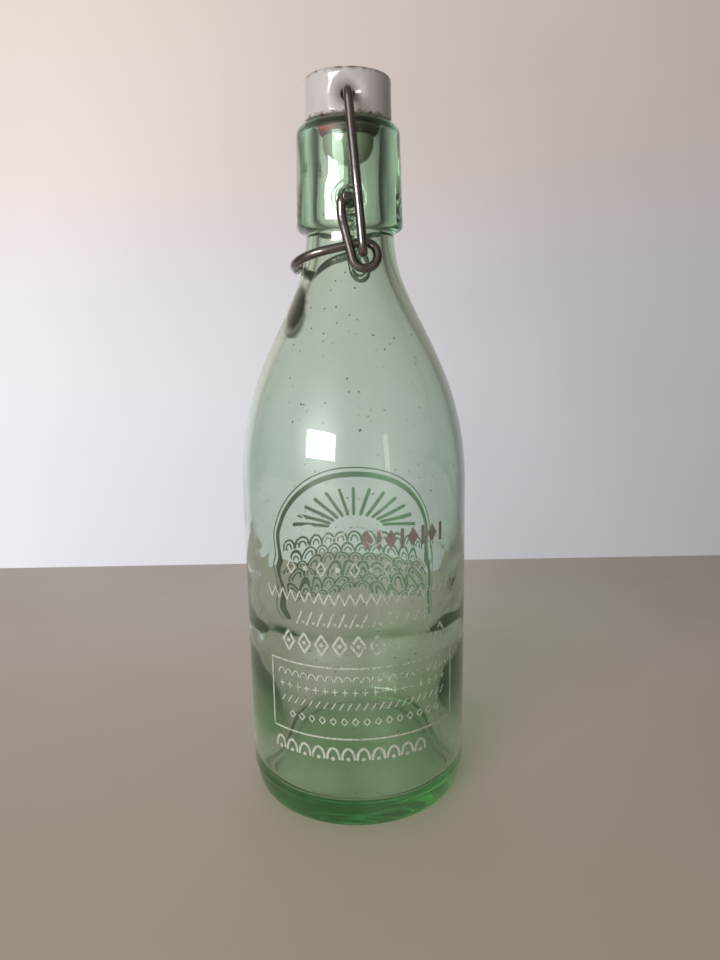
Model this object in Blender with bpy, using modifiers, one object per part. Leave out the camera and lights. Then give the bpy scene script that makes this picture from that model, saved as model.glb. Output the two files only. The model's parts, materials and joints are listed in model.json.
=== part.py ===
"""Antique swing-top bottle: a glass bottle, a porcelain stopper with its rubber washer, and two bent wires.

The bottle stands on the ground at the origin and its axis is +Z. The closure's sockets lie on the Y axis.
The handle lies on the -X side, and pushing it up about the sockets lets the stopper rise.
"""
import math

import bmesh
import bpy
from mathutils import Vector
from mathutils.geometry import interpolate_bezier

COLLECTION = "antique_bottle"
CUTTERS = "cutters"

# The glass, in metres: outside
BODY_RADIUS = 0.0340
BODY_TOP = 0.0957
HEEL_HEIGHT = 0.0140
HEEL_INSET = 0.0029
SHOULDER_LENGTH = 0.0741
SHOULDER_PULL = 0.0390
NECK_PULL = 0.0220
NECK_RADIUS = 0.0126
COLLAR_HEIGHT = 0.0292
COLLAR_BOTTOM_STEP = 0.0027
COLLAR_TOP_STEP = 0.0020
COLLAR_BOTTOM_ROUND = 0.0022
LIP_ROUND = 0.0028

# The glass: foot and inside
FOOT_RING_WIDTH = 0.0030
PUNT_HEIGHT = 0.0008
FLOOR_THICKNESS = 0.0078
WALL = 0.0030
INNER_HEEL_ROUND = 0.0025
NECK_WALL = 0.0036
FLARE_DEPTH = 0.0052
MOUTH_ROUND = 0.0006
LIP_LAND = 0.0004

# The sockets for the lever, from the collar's lower edge
SOCKET_RISE = 0.0076
SOCKET_DEPTH = 0.0036
SOCKET_FLARE = 0.0014
SOCKET_END_GAP = 0.00055

# The stopper
CAP_INSET = 0.0023
CAP_HEIGHT = 0.0116
CAP_TOP_ROUND = 0.0018
CAP_FOOT_ROUND = 0.0006
CAP_CROWN = 0.0006
CAP_LIP_GAP = 0.0006
PLUG_GAP = 0.0012
PLUG_ROUND = 0.0042
PLUG_DEPTH = 0.0111
CROSS_HOLE_RISE = 0.0044
CROSS_HOLE_GAP = 0.00045
RECESS_RIM = 0.0017
RECESS_DEPTH = 0.0009

# The washer and its groove under the cap
WASHER_THICKNESS = 0.0048
WASHER_GROOVE = 0.0014
WASHER_BEVEL = 0.0005
WASHER_SEAT_GAP = 0.0007

# Both wires
WIRE_RADIUS = 0.00125
WIRE_GAP = 0.0003
RUNNING_GAP = 0.0004
COLLAR_GAP = 0.0010

# The lever, from the sockets' axis
LEVER_BEND = 0.0019
LEG_BOW = 0.0022
LEG_STRAIGHT_DROP = 0.0050
LEG_BEND = 0.0100
EYE_PLAY = 0.0010
EYE_SIDE = 0.00395
EYE_DROP = 0.01515
HANDLE_GAP = 0.0003
HANDLE_FRONT_FALL = 0.0005
HANDLE_SIDE_FALL = 0.0038
HANDLE_END_FALL = 0.0056
HANDLE_FLAT = 0.0035
HANDLE_FRONT_BEND = 0.0060
HANDLE_END_BEND = 0.0030

# The bail, from its hooks in the lever's eyes
HOOK_DIRECTION = 130.0
HOOK_BEND = 0.0022
BAIL_CAP_GAP = 0.0026
BAIL_TOP_BEND = 0.0030
BAIL_BOW_RISE = 0.0030
BAIL_BOW_BEND = 0.0400

# How fine the meshes are
TURNED_STEPS = 48
ROUND_STEPS = 5
SHOULDER_STEPS = 18
HEEL_STEPS = 7
WIRE_SIDES_RESOLUTION = 3
BEND_STEPS = 5
EYE_STEPS = 26
HOLE_SIDES = 20
CUT_OVERRUN = 0.0020
WELD = 0.00001

# Colours, linear, with roughness, metallic and transmission
FINISHES = {
    "pale_green_glass": ((0.42, 0.62, 0.44), 0.04, 0.0, 0.9),
    "white_porcelain": ((0.72, 0.70, 0.73), 0.18, 0.0, 0.0),
    "red_rubber": ((0.36, 0.045, 0.03), 0.75, 0.0, 0.0),
    "bail_steel": ((0.20, 0.18, 0.17), 0.38, 1.0, 0.0),
    "lever_steel": ((0.17, 0.155, 0.15), 0.42, 1.0, 0.0),
}


def clear_scene():
    """Remove every object, so that the script can run twice."""
    for old in list(bpy.data.objects):
        bpy.data.objects.remove(old, do_unlink=True)


def collection(name):
    """Return the named collection, linked to the scene."""
    found = bpy.data.collections.get(name)
    if found is None:
        found = bpy.data.collections.new(name)
        bpy.context.scene.collection.children.link(found)
    return found


def finish(name):
    """Make the Principled material of one piece."""
    colour, roughness, metallic, transmission = FINISHES[name]
    material = bpy.data.materials.new(name)
    material.use_nodes = True
    shader = material.node_tree.nodes["Principled BSDF"]
    shader.inputs["Base Color"].default_value = (*colour, 1.0)
    shader.inputs["Roughness"].default_value = roughness
    shader.inputs["Metallic"].default_value = metallic
    shader.inputs["Transmission Weight"].default_value = transmission
    return material


def add_object(name, data, place, material):
    """Put mesh or curve data into the part's collection at a place."""
    made = bpy.data.objects.new(name, data)
    made.location = place
    made.data.materials.append(material)
    collection(COLLECTION).objects.link(made)
    return made


def bake(made):
    """Replace an object's curve or modifiers by the finished mesh."""
    bpy.context.view_layer.update()
    graph = bpy.context.evaluated_depsgraph_get()
    mesh = bpy.data.meshes.new_from_object(made.evaluated_get(graph), depsgraph=graph)
    mesh.name = made.name
    work = bmesh.new()
    work.from_mesh(mesh)
    bmesh.ops.remove_doubles(work, verts=work.verts, dist=WELD)
    bmesh.ops.recalc_face_normals(work, faces=work.faces)
    work.to_mesh(mesh)
    work.free()
    if made.type == "MESH":
        made.modifiers.clear()
        made.data = mesh
        return made
    solid = bpy.data.objects.new(made.name, mesh)
    solid.matrix_world = made.matrix_world
    name = made.name
    for home in list(made.users_collection):
        home.objects.link(solid)
    bpy.data.objects.remove(made, do_unlink=True)
    solid.name = name
    return solid


def shade(made, angle=35.0):
    """Smooth the round faces and keep the edges that turn sharply."""
    made.data.shade_smooth()
    made.data.set_sharp_from_angle(angle=math.radians(angle))


def arc(centre, radii, start, end, steps):
    """Points of an ellipse's arc in the turned section, in degrees from +X toward +Z."""
    points = []
    for step in range(steps + 1):
        turn = math.radians(start + (end - start) * step / steps)
        points.append((centre[0] + radii[0] * math.cos(turn), centre[1] + radii[1] * math.sin(turn)))
    return points


def sweep(start, end, start_pull, end_pull, steps):
    """A curve between two upright stretches of the turned section, from the upper to the lower."""
    knots = [
        Vector((start[0], start[1], 0.0)),
        Vector((start[0], start[1] - start_pull, 0.0)),
        Vector((end[0], end[1] + end_pull, 0.0)),
        Vector((end[0], end[1], 0.0)),
    ]
    return [(point.x, point.y) for point in interpolate_bezier(*knots, steps + 1)]


def turn(name, outline, place, material, closed=False):
    """Turn an outline of (radius, height) points into a solid round the Z axis."""
    mesh = bpy.data.meshes.new(name)
    vertices = [(radius, 0.0, height) for radius, height in outline]
    edges = [(index, index + 1) for index in range(len(outline) - 1)]
    if closed:
        edges.append((len(outline) - 1, 0))
    mesh.from_pydata(vertices, edges, [])
    made = add_object(name, mesh, place, material)
    screw = made.modifiers.new("turned", "SCREW")
    screw.steps = TURNED_STEPS
    screw.render_steps = TURNED_STEPS
    screw.use_merge_vertices = True
    screw.merge_threshold = WELD
    screw.use_smooth_shade = True
    return made


def cutter(name, radii, ends):
    """Make a cone or rod along Y between two places, in the cutters' collection."""
    start, end = Vector(ends[0]), Vector(ends[1])
    span = end - start
    mesh = bpy.data.meshes.new(name)
    work = bmesh.new()
    bmesh.ops.create_cone(
        work,
        cap_ends=True,
        segments=HOLE_SIDES,
        radius1=radii[0],
        radius2=radii[1],
        depth=span.length,
        matrix=span.to_track_quat("Z", "Y").to_matrix().to_4x4(),
    )
    work.to_mesh(mesh)
    work.free()
    made = bpy.data.objects.new(name, mesh)
    made.location = (start + end) / 2
    made.hide_render = True
    made.display_type = "WIRE"
    collection(CUTTERS).objects.link(made)
    return made


def cut(made, cutters):
    """Take each cutter's volume out of an object."""
    for tool in cutters:
        step = made.modifiers.new(tool.name, "BOOLEAN")
        step.operation = "DIFFERENCE"
        step.solver = "EXACT"
        step.object = tool


def rounded(corners, bends):
    """Round the inner corners of a route, each with its own bend radius."""
    route = [Vector(corners[0])]
    for index in range(1, len(corners) - 1):
        corner = Vector(corners[index])
        back = (Vector(corners[index - 1]) - corner).normalized()
        ahead = (Vector(corners[index + 1]) - corner).normalized()
        half = back.angle(ahead) / 2
        bend = bends[index - 1]
        centre = corner + (back + ahead).normalized() * (bend / math.sin(half))
        first = (corner + back * (bend / math.tan(half)) - centre).normalized()
        last = (corner + ahead * (bend / math.tan(half)) - centre).normalized()
        for step in range(BEND_STEPS + 1):
            route.append(centre + first.slerp(last, step / BEND_STEPS) * bend)
    route.append(Vector(corners[-1]))
    return route


def wire(name, route, place, material):
    """Sweep the round wire along a route, with closed ends."""
    curve = bpy.data.curves.new(name, "CURVE")
    curve.dimensions = "3D"
    curve.bevel_depth = WIRE_RADIUS
    curve.bevel_resolution = WIRE_SIDES_RESOLUTION
    curve.use_fill_caps = True
    spline = curve.splines.new("POLY")
    spline.points.add(len(route) - 1)
    for point, position in zip(spline.points, route):
        point.co = (*position, 1.0)
    return bake(add_object(name, curve, place, material))


def mirrored(half):
    """Continue a route that ends on the plane y = 0 with its mirror image."""
    ahead = [Vector(point) for point in half]
    back = [Vector((point.x, -point.y, point.z)) for point in reversed(ahead)]
    if abs(ahead[-1].y) < WELD:
        back = back[1:]
    return ahead + back


# The glass's places that follow from the sizes above
FOOT_RADIUS = BODY_RADIUS - HEEL_INSET
COLLAR_BOTTOM = BODY_TOP + SHOULDER_LENGTH
LIP_TOP = COLLAR_BOTTOM + COLLAR_HEIGHT
COLLAR_BOTTOM_RADIUS = NECK_RADIUS + COLLAR_BOTTOM_STEP
COLLAR_TOP_RADIUS = NECK_RADIUS + COLLAR_TOP_STEP
BORE_RADIUS = NECK_RADIUS - NECK_WALL
FLARE_RADIUS = COLLAR_TOP_RADIUS - LIP_ROUND - LIP_LAND
SOCKET_HEIGHT = COLLAR_BOTTOM + SOCKET_RISE
SOCKET_END_RADIUS = WIRE_RADIUS + SOCKET_END_GAP

# The stopper's and the washer's
CAP_RADIUS = COLLAR_TOP_RADIUS - CAP_INSET
CAP_FOOT = LIP_TOP + CAP_LIP_GAP
CAP_TOP = CAP_FOOT + CAP_HEIGHT
PLUG_RADIUS = BORE_RADIUS - PLUG_GAP
PLUG_FOOT = LIP_TOP - PLUG_DEPTH
STEM_RADIUS = PLUG_RADIUS - WASHER_GROOVE
WASHER_TOP = CAP_FOOT - WIRE_GAP
WASHER_FOOT = WASHER_TOP - WASHER_THICKNESS
PLUG_SHOULDER = WASHER_FOOT - WIRE_GAP
CROSS_HOLE_HEIGHT = CAP_FOOT + CROSS_HOLE_RISE
CROSS_HOLE_RADIUS = WIRE_RADIUS + CROSS_HOLE_GAP

# The wires lie in three layers beside the collar: the handle's, the lever's legs and the bail's legs
LEG_LAYER = COLLAR_BOTTOM_RADIUS + COLLAR_GAP + WIRE_RADIUS
INNER_LAYER = LEG_LAYER - 2 * WIRE_RADIUS - WIRE_GAP
OUTER_LAYER = LEG_LAYER + 2 * WIRE_RADIUS + WIRE_GAP
EYE_RADIUS = 2 * WIRE_RADIUS + EYE_PLAY
EYE_TOP = EYE_RADIUS - EYE_DROP
HOOK_SET = EYE_PLAY - WIRE_GAP
HOOK_SIDE = EYE_SIDE + HOOK_SET * math.cos(math.radians(HOOK_DIRECTION))
HOOK_DROP = EYE_DROP - HOOK_SET * math.sin(math.radians(HOOK_DIRECTION))
SOCKET_PLACE = Vector((0.0, 0.0, SOCKET_HEIGHT))
HOOK_PLACE = Vector((HOOK_SIDE, 0.0, SOCKET_HEIGHT - HOOK_DROP))
CROSS_PLACE = Vector((0.0, 0.0, CROSS_HOLE_HEIGHT))


def shoulder_outline():
    """The outside of the shoulder, from the neck under the collar down to the body."""
    neck = (NECK_RADIUS, COLLAR_BOTTOM)
    body = (BODY_RADIUS, BODY_TOP)
    return sweep(neck, body, NECK_PULL, SHOULDER_PULL, SHOULDER_STEPS)


def shoulder_radius(height):
    """The radius of the shoulder's outside at a height."""
    points = shoulder_outline()
    for upper, lower in zip(points, points[1:]):
        if lower[1] <= height:
            share = (upper[1] - height) / (upper[1] - lower[1])
            return upper[0] + (lower[0] - upper[0]) * share
    return BODY_RADIUS


def glass_outline():
    """The bottle's section: up the inside from the floor's centre, over the lip, down to the foot."""
    floor = PUNT_HEIGHT + FLOOR_THICKNESS
    inner_radius = BODY_RADIUS - WALL
    flare_foot = LIP_TOP - FLARE_DEPTH
    mouth_edge = FLARE_RADIUS + MOUTH_ROUND
    inside = [(0.0, floor)]
    inside += arc(
        (inner_radius - INNER_HEEL_ROUND, floor + INNER_HEEL_ROUND),
        (INNER_HEEL_ROUND, INNER_HEEL_ROUND),
        -90.0,
        0.0,
        ROUND_STEPS,
    )
    inner_sweep = sweep(
        (BORE_RADIUS, COLLAR_BOTTOM),
        (inner_radius, BODY_TOP),
        NECK_PULL,
        SHOULDER_PULL,
        SHOULDER_STEPS,
    )
    inside += list(reversed(inner_sweep))
    inside += [(BORE_RADIUS, flare_foot), (FLARE_RADIUS, LIP_TOP - MOUTH_ROUND)]
    lip = [(mouth_edge, LIP_TOP)]
    outside = arc(
        (COLLAR_TOP_RADIUS - LIP_ROUND, LIP_TOP - LIP_ROUND),
        (LIP_ROUND, LIP_ROUND),
        80.0,
        0.0,
        ROUND_STEPS,
    )
    outside += arc(
        (COLLAR_BOTTOM_RADIUS - COLLAR_BOTTOM_ROUND, COLLAR_BOTTOM + COLLAR_BOTTOM_ROUND),
        (COLLAR_BOTTOM_ROUND, COLLAR_BOTTOM_ROUND),
        0.0,
        -90.0,
        ROUND_STEPS,
    )
    outside += shoulder_outline()
    outside += arc(
        (FOOT_RADIUS, HEEL_HEIGHT),
        (BODY_RADIUS - FOOT_RADIUS, HEEL_HEIGHT),
        0.0,
        -90.0,
        HEEL_STEPS,
    )
    ring_inside = FOOT_RADIUS - FOOT_RING_WIDTH
    punt = arc((0.0, 0.0), (ring_inside, PUNT_HEIGHT), 0.0, 90.0, ROUND_STEPS)
    return inside + lip + outside + punt


def make_glass():
    """Turn the bottle and sink the two sockets into its collar."""
    bottle = turn("glass_bottle", glass_outline(), Vector((0.0, 0.0, 0.0)), finish("pale_green_glass"))
    slope = SOCKET_FLARE / SOCKET_DEPTH
    outer_radius = SOCKET_END_RADIUS + SOCKET_FLARE + slope * CUT_OVERRUN
    sockets = []
    for side, label in ((-1, "near"), (1, "far")):
        mouth = side * (COLLAR_BOTTOM_RADIUS + CUT_OVERRUN)
        end = side * (COLLAR_BOTTOM_RADIUS - SOCKET_DEPTH)
        ends = ((0.0, mouth, SOCKET_HEIGHT), (0.0, end, SOCKET_HEIGHT))
        sockets.append(cutter("socket_cutter_" + label, (outer_radius, SOCKET_END_RADIUS), ends))
    cut(bottle, sockets)
    bottle = bake(bottle)
    shade(bottle)
    return bottle


def stopper_outline():
    """The stopper's section from the crown down to the plug's foot, about the cross hole's height."""
    points = [(0.0, CAP_TOP + CAP_CROWN)]
    points += arc(
        (CAP_RADIUS - CAP_TOP_ROUND, CAP_TOP - CAP_TOP_ROUND),
        (CAP_TOP_ROUND, CAP_TOP_ROUND),
        90.0,
        0.0,
        ROUND_STEPS,
    )
    points += arc(
        (CAP_RADIUS - CAP_FOOT_ROUND, CAP_FOOT + CAP_FOOT_ROUND),
        (CAP_FOOT_ROUND, CAP_FOOT_ROUND),
        0.0,
        -90.0,
        ROUND_STEPS,
    )
    points += [(STEM_RADIUS, CAP_FOOT), (STEM_RADIUS, PLUG_SHOULDER), (PLUG_RADIUS, PLUG_SHOULDER)]
    points += arc(
        (PLUG_RADIUS - PLUG_ROUND, PLUG_FOOT + PLUG_ROUND),
        (PLUG_ROUND, PLUG_ROUND),
        0.0,
        -90.0,
        ROUND_STEPS + 1,
    )
    points += [(0.0, PLUG_FOOT)]
    return [(radius, height - CROSS_HOLE_HEIGHT) for radius, height in points]


def make_stopper():
    """Turn the stopper, bore its cross hole and dish the hole's two mouths."""
    stopper = turn("stopper", stopper_outline(), CROSS_PLACE, finish("white_porcelain"))
    reach = CAP_RADIUS + CUT_OVERRUN
    level = CROSS_HOLE_HEIGHT
    ends = ((0.0, -reach, level), (0.0, reach, level))
    tools = [cutter("cross_hole_cutter", (CROSS_HOLE_RADIUS, CROSS_HOLE_RADIUS), ends)]
    slope = RECESS_RIM / RECESS_DEPTH
    outer_radius = CROSS_HOLE_RADIUS + RECESS_RIM + slope * CUT_OVERRUN
    for side, label in ((-1, "near"), (1, "far")):
        mouth = (0.0, side * reach, level)
        inner = (0.0, side * (CAP_RADIUS - RECESS_DEPTH), level)
        tools.append(cutter("recess_cutter_" + label, (outer_radius, CROSS_HOLE_RADIUS), (mouth, inner)))
    cut(stopper, tools)
    stopper = bake(stopper)
    shade(stopper)
    return stopper


def make_washer():
    """Turn the rubber ring that seats in the flared mouth."""
    slope = (FLARE_RADIUS - BORE_RADIUS) / (FLARE_DEPTH - MOUTH_ROUND)
    top_drop = FLARE_DEPTH - (LIP_TOP - WASHER_TOP) - WASHER_BEVEL
    foot_drop = top_drop - WASHER_THICKNESS + 2 * WASHER_BEVEL
    top_radius = BORE_RADIUS + top_drop * slope - WASHER_SEAT_GAP
    foot_radius = BORE_RADIUS + foot_drop * slope - WASHER_SEAT_GAP
    inner_radius = STEM_RADIUS + WIRE_GAP
    outline = [
        (inner_radius, WASHER_FOOT),
        (inner_radius, WASHER_TOP),
        (top_radius - WASHER_BEVEL, WASHER_TOP),
        (top_radius, WASHER_TOP - WASHER_BEVEL),
        (foot_radius, WASHER_FOOT + WASHER_BEVEL),
        (foot_radius - WASHER_BEVEL, WASHER_FOOT),
    ]
    moved = [(radius, height - CROSS_HOLE_HEIGHT) for radius, height in outline]
    washer = bake(turn("sealing_washer", moved, CROSS_PLACE, finish("red_rubber"), closed=True))
    shade(washer)
    return washer


def eye_route(centre):
    """The eye's three quarters of a turn, from its left round below to its top, a layer further in."""
    route = []
    for step in range(EYE_STEPS + 1):
        turned_share = step / EYE_STEPS
        around = math.radians(180.0 + 270.0 * turned_share)
        inward_share = max(0.0, min(1.0, 1.6 * turned_share - 0.4))
        layer = LEG_LAYER + (INNER_LAYER - LEG_LAYER) * inward_share
        side = centre.x + EYE_RADIUS * math.cos(around)
        height = centre.z + EYE_RADIUS * math.sin(around)
        route.append(Vector((side, -layer, height)))
    return route


def lever_half():
    """The lever's near half, from its end in the socket to the middle of the handle."""
    stub_end = COLLAR_BOTTOM_RADIUS - SOCKET_DEPTH + RUNNING_GAP
    eye = Vector((EYE_SIDE, -LEG_LAYER, -EYE_DROP))
    leg = [
        (0.0, -stub_end, 0.0),
        (0.0, -COLLAR_BOTTOM_RADIUS, 0.0),
        (-LEG_BOW, -LEG_LAYER, 0.0),
        (-LEG_BOW, -LEG_LAYER, -LEG_STRAIGHT_DROP),
        (EYE_SIDE - EYE_RADIUS, -LEG_LAYER, -EYE_DROP),
    ]
    end_height = EYE_TOP - HANDLE_END_FALL
    lowest = SOCKET_HEIGHT + end_height - WIRE_RADIUS
    reach = shoulder_radius(lowest) + WIRE_RADIUS + HANDLE_GAP
    handle = [
        (EYE_SIDE, -INNER_LAYER, EYE_TOP),
        (0.0, -INNER_LAYER, EYE_TOP - HANDLE_FRONT_FALL),
        (-reach, -INNER_LAYER, EYE_TOP - HANDLE_SIDE_FALL),
        (-reach, -HANDLE_FLAT, end_height),
        (-reach, 0.0, end_height),
    ]
    side_bend = INNER_LAYER - HANDLE_FLAT - HANDLE_END_BEND / 2
    leg_route = rounded(leg, [LEVER_BEND, LEVER_BEND, LEG_BEND])
    handle_route = rounded(handle, [HANDLE_FRONT_BEND, side_bend, HANDLE_END_BEND])
    return leg_route[:-1] + eye_route(eye) + handle_route[1:]


def bail_half():
    """The bail's near half, from the hook's end to the middle of the cross hole."""
    rise = CROSS_HOLE_HEIGHT - SOCKET_HEIGHT + HOOK_DROP
    lean = HOOK_SIDE / rise
    top_layer = CAP_RADIUS + BAIL_CAP_GAP + BAIL_TOP_BEND / 2
    bow_rise = HOOK_DROP + BAIL_BOW_RISE
    corners = [
        (0.0, -INNER_LAYER, 0.0),
        (0.0, -OUTER_LAYER, 0.0),
        (-lean * bow_rise, -OUTER_LAYER, bow_rise),
        (-HOOK_SIDE, -top_layer, rise),
        (-HOOK_SIDE, 0.0, rise),
    ]
    return rounded(corners, [HOOK_BEND, BAIL_BOW_BEND, BAIL_TOP_BEND])


def make_wires():
    """Bend the lever and the bail."""
    lever = wire("lever_wire", mirrored(lever_half()), SOCKET_PLACE, finish("lever_steel"))
    bail = wire("bail_wire", mirrored(bail_half()), HOOK_PLACE, finish("bail_steel"))
    for made in (lever, bail):
        shade(made, angle=50.0)
    return lever, bail


def main():
    """Build the whole bottle."""
    clear_scene()
    make_glass()
    make_stopper()
    make_washer()
    make_wires()


main()
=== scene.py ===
# %% [markdown]
# An antique swing-top bottle
# The real object is an old small soda bottle of pale green glass, blown in a two-part mould.
# A porcelain stopper with a rubber ring closes it, and two bent wires pull the stopper down.
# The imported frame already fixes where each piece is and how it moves. This script gives each piece the surface
# that the eye sees, so every step starts from the frame and never moves it.

# %% Load the frame
import json
import math
from functools import partial

import bmesh
import bpy
from mathutils import Matrix, Vector, noise
from mathutils.geometry import interpolate_bezier


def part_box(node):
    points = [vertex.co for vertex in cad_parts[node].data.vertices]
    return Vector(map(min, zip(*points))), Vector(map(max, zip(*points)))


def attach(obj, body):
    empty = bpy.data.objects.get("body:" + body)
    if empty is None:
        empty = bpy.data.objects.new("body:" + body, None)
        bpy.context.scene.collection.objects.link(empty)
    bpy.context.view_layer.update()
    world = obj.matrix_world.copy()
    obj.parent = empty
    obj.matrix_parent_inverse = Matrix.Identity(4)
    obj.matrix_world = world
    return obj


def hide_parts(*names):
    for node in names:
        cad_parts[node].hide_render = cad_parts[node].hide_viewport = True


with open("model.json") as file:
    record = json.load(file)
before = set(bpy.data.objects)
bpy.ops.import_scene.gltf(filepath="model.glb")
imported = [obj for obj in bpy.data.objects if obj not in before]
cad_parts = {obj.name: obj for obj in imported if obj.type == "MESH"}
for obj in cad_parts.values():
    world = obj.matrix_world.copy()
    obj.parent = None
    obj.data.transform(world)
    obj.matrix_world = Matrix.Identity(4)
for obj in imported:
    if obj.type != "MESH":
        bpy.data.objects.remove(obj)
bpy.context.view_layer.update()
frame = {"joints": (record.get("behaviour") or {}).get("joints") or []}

MM = 0.001

# %% [markdown]
# The camera stands where the photographer stood: close to the bottle, level with its shoulder, looking a
# little down. A close camera bends the level rings of the bottle into clear arcs, so its distance matters
# more than its lens. The place, tilt and lens were worked out from the outline and the arcs of the print.

# %% Set the camera
CAMERA_PLACE = Vector((0.0, -228.5 * MM, 142.2 * MM))
CAMERA_LENS_MM, SENSOR_WIDTH_MM = 28.275, 36.0
NEAREST_SEEN = 10 * MM
TILT_DOWN = math.radians(11.19)
TURN_RIGHT = math.radians(0.456)
ROLL = math.radians(-0.91)

camera = bpy.data.objects.new("camera", bpy.data.cameras.new("camera"))
camera.data.sensor_width = SENSOR_WIDTH_MM
camera.data.lens = CAMERA_LENS_MM
camera.data.clip_start = NEAREST_SEEN
turned_right = Matrix.Rotation(-TURN_RIGHT, 4, "Z")
looking_down = Matrix.Rotation(math.pi / 2 - TILT_DOWN, 4, "X")
rolled = Matrix.Rotation(ROLL, 4, "Z")
camera.matrix_world = Matrix.Translation(CAMERA_PLACE) @ turned_right @ looking_down @ rolled
bpy.context.scene.collection.objects.link(camera)
bpy.context.scene.camera = camera
bpy.context.scene.view_settings.view_transform = "Standard"
print("camera at", tuple(round(edge / MM, 1) for edge in CAMERA_PLACE), "mm")

# %% [markdown]
# Two helpers serve every material. Colours are written as sRGB hex values, as a colour picker shows them,
# and one function turns them into the linear numbers that shaders add and multiply.
# The other adds a node with its settings and its links, so that each material reads from top to bottom.
# A few settings come back in every material, so they get plain names.

# %% Write colours and nodes
TIMES, PLUS, MINUS = {"operation": "MULTIPLY"}, {"operation": "ADD"}, {"operation": "SUBTRACT"}
OVER, UNDER, LARGER = {"operation": "GREATER_THAN"}, {"operation": "LESS_THAN"}, {"operation": "MAXIMUM"}
APART, LENGTH = {"operation": "DISTANCE"}, {"operation": "LENGTH"}
EASED, TINTED = {"interpolation_type": "SMOOTHSTEP"}, {"data_type": "RGBA"}


def linear(code):
    """Turn an sRGB hex colour such as #a0b0c0 into linear red, green, blue and a full alpha."""
    parts = [int(code[place : place + 2], 16) / 255 for place in (1, 3, 5)]
    return (*[part / 12.92 if part <= 0.04045 else ((part + 0.055) / 1.055) ** 2.4 for part in parts], 1.0)


def node(tree, kind, inputs=(), **settings):
    """Add a node and return its outputs. Settings are the node's own options. Inputs are numbers, hex colours
    or the outputs that feed it, in their order or by name or place. A Mix of colours takes them at places 6
    and 7 and gives the mixed one at place 2."""
    made = tree.nodes.new("ShaderNode" + kind)
    for name, value in settings.items():
        setattr(made, name, value)
    for name, value in inputs.items() if isinstance(inputs, dict) else enumerate(inputs):
        if isinstance(value, bpy.types.NodeSocket):
            tree.links.new(value, made.inputs[name])
        else:
            made.inputs[name].default_value = linear(value) if isinstance(value, str) else value
    return made.outputs


def blank(name):
    """Start an empty material. Return it with the node function, bound to its tree."""
    material = bpy.data.materials.new(name)
    material.use_nodes = True
    material.node_tree.nodes.clear()
    return material, partial(node, material.node_tree)


print("a hex grey of #808080 is", round(linear("#808080")[0], 3), "in linear light")

# %% [markdown]
# The glass is the largest piece. A bottle like this was blown into an iron mould, so its outside is nearly
# true and its inside wanders: the wall is thicker here and thinner there, and that is what makes the scene
# behind it swim. One way is a plain turned shape with a wavy bump, but bump bends no edge and makes no thick
# heel. Here the whole section, outside and inside, is turned as one closed wall, and each point of the inside
# is then pushed in or out. Light then finds real thickness wherever it goes.

# %% Name the glass's sizes
_, glass_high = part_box("glass_bottle")
LIP_TOP = glass_high.z
BODY_RADIUS = glass_high.x
BODY_TOP = 95.7 * MM
HEEL_HEIGHT = 14.0 * MM
FOOT_RADIUS = BODY_RADIUS - 2.9 * MM
COLLAR_BOTTOM = BODY_TOP + 74.1 * MM
NECK_RADIUS = 12.6 * MM
NECK_PULL, SHOULDER_PULL = 22.0 * MM, 39.0 * MM
COLLAR_FOOT_RADIUS = NECK_RADIUS + 2.7 * MM
COLLAR_TOP_RADIUS = NECK_RADIUS + 2.0 * MM
COLLAR_FOOT_ROUND, LIP_ROUND = 2.2 * MM, 2.8 * MM
NECK_FILLET = 0.7 * MM
FOOT_RING_WIDTH, PUNT_HEIGHT = 3.0 * MM, 0.8 * MM
FLOOR_TOP = 8.6 * MM
INNER_RADIUS = BODY_RADIUS - 3.0 * MM
INNER_HEEL_WIDTH, INNER_HEEL_RISE = 2.4 * MM, 2.6 * MM
BORE_RADIUS = NECK_RADIUS - 3.6 * MM
MOUTH_WIDTH, MOUTH_DEPTH = 2.6 * MM, 3.4 * MM
ROW_STEP, FINE_STEP = 2.0 * MM, 0.4 * MM
print("glass", round(LIP_TOP / MM, 1), "mm tall and", round(2 * BODY_RADIUS / MM, 1), "mm across")

# %% Draw the glass's section


def arc(centre, radii, start, end, steps):
    """Points of an ellipse's arc in the section, in degrees from the outward side toward the top."""
    points = []
    for step in range(steps + 1):
        around = math.radians(start + (end - start) * step / steps)
        points.append((centre[0] + radii[0] * math.cos(around), centre[1] + radii[1] * math.sin(around)))
    return points


def straight(start, end, step):
    """Points from start to end, no further apart than a step."""
    count = max(1, math.ceil((Vector(end) - Vector(start)).length / step))
    return [tuple(Vector(start).lerp(Vector(end), share / count)) for share in range(count + 1)]


def shoulder(top_radius, foot_radius, steps):
    """The flowing line from the neck down to the body, upright at both ends."""
    knots = [
        Vector((top_radius, COLLAR_BOTTOM, 0.0)),
        Vector((top_radius, COLLAR_BOTTOM - NECK_PULL, 0.0)),
        Vector((foot_radius, BODY_TOP + SHOULDER_PULL, 0.0)),
        Vector((foot_radius, BODY_TOP, 0.0)),
    ]
    return [(point.x, point.y) for point in interpolate_bezier(*knots, steps + 1)]


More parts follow.
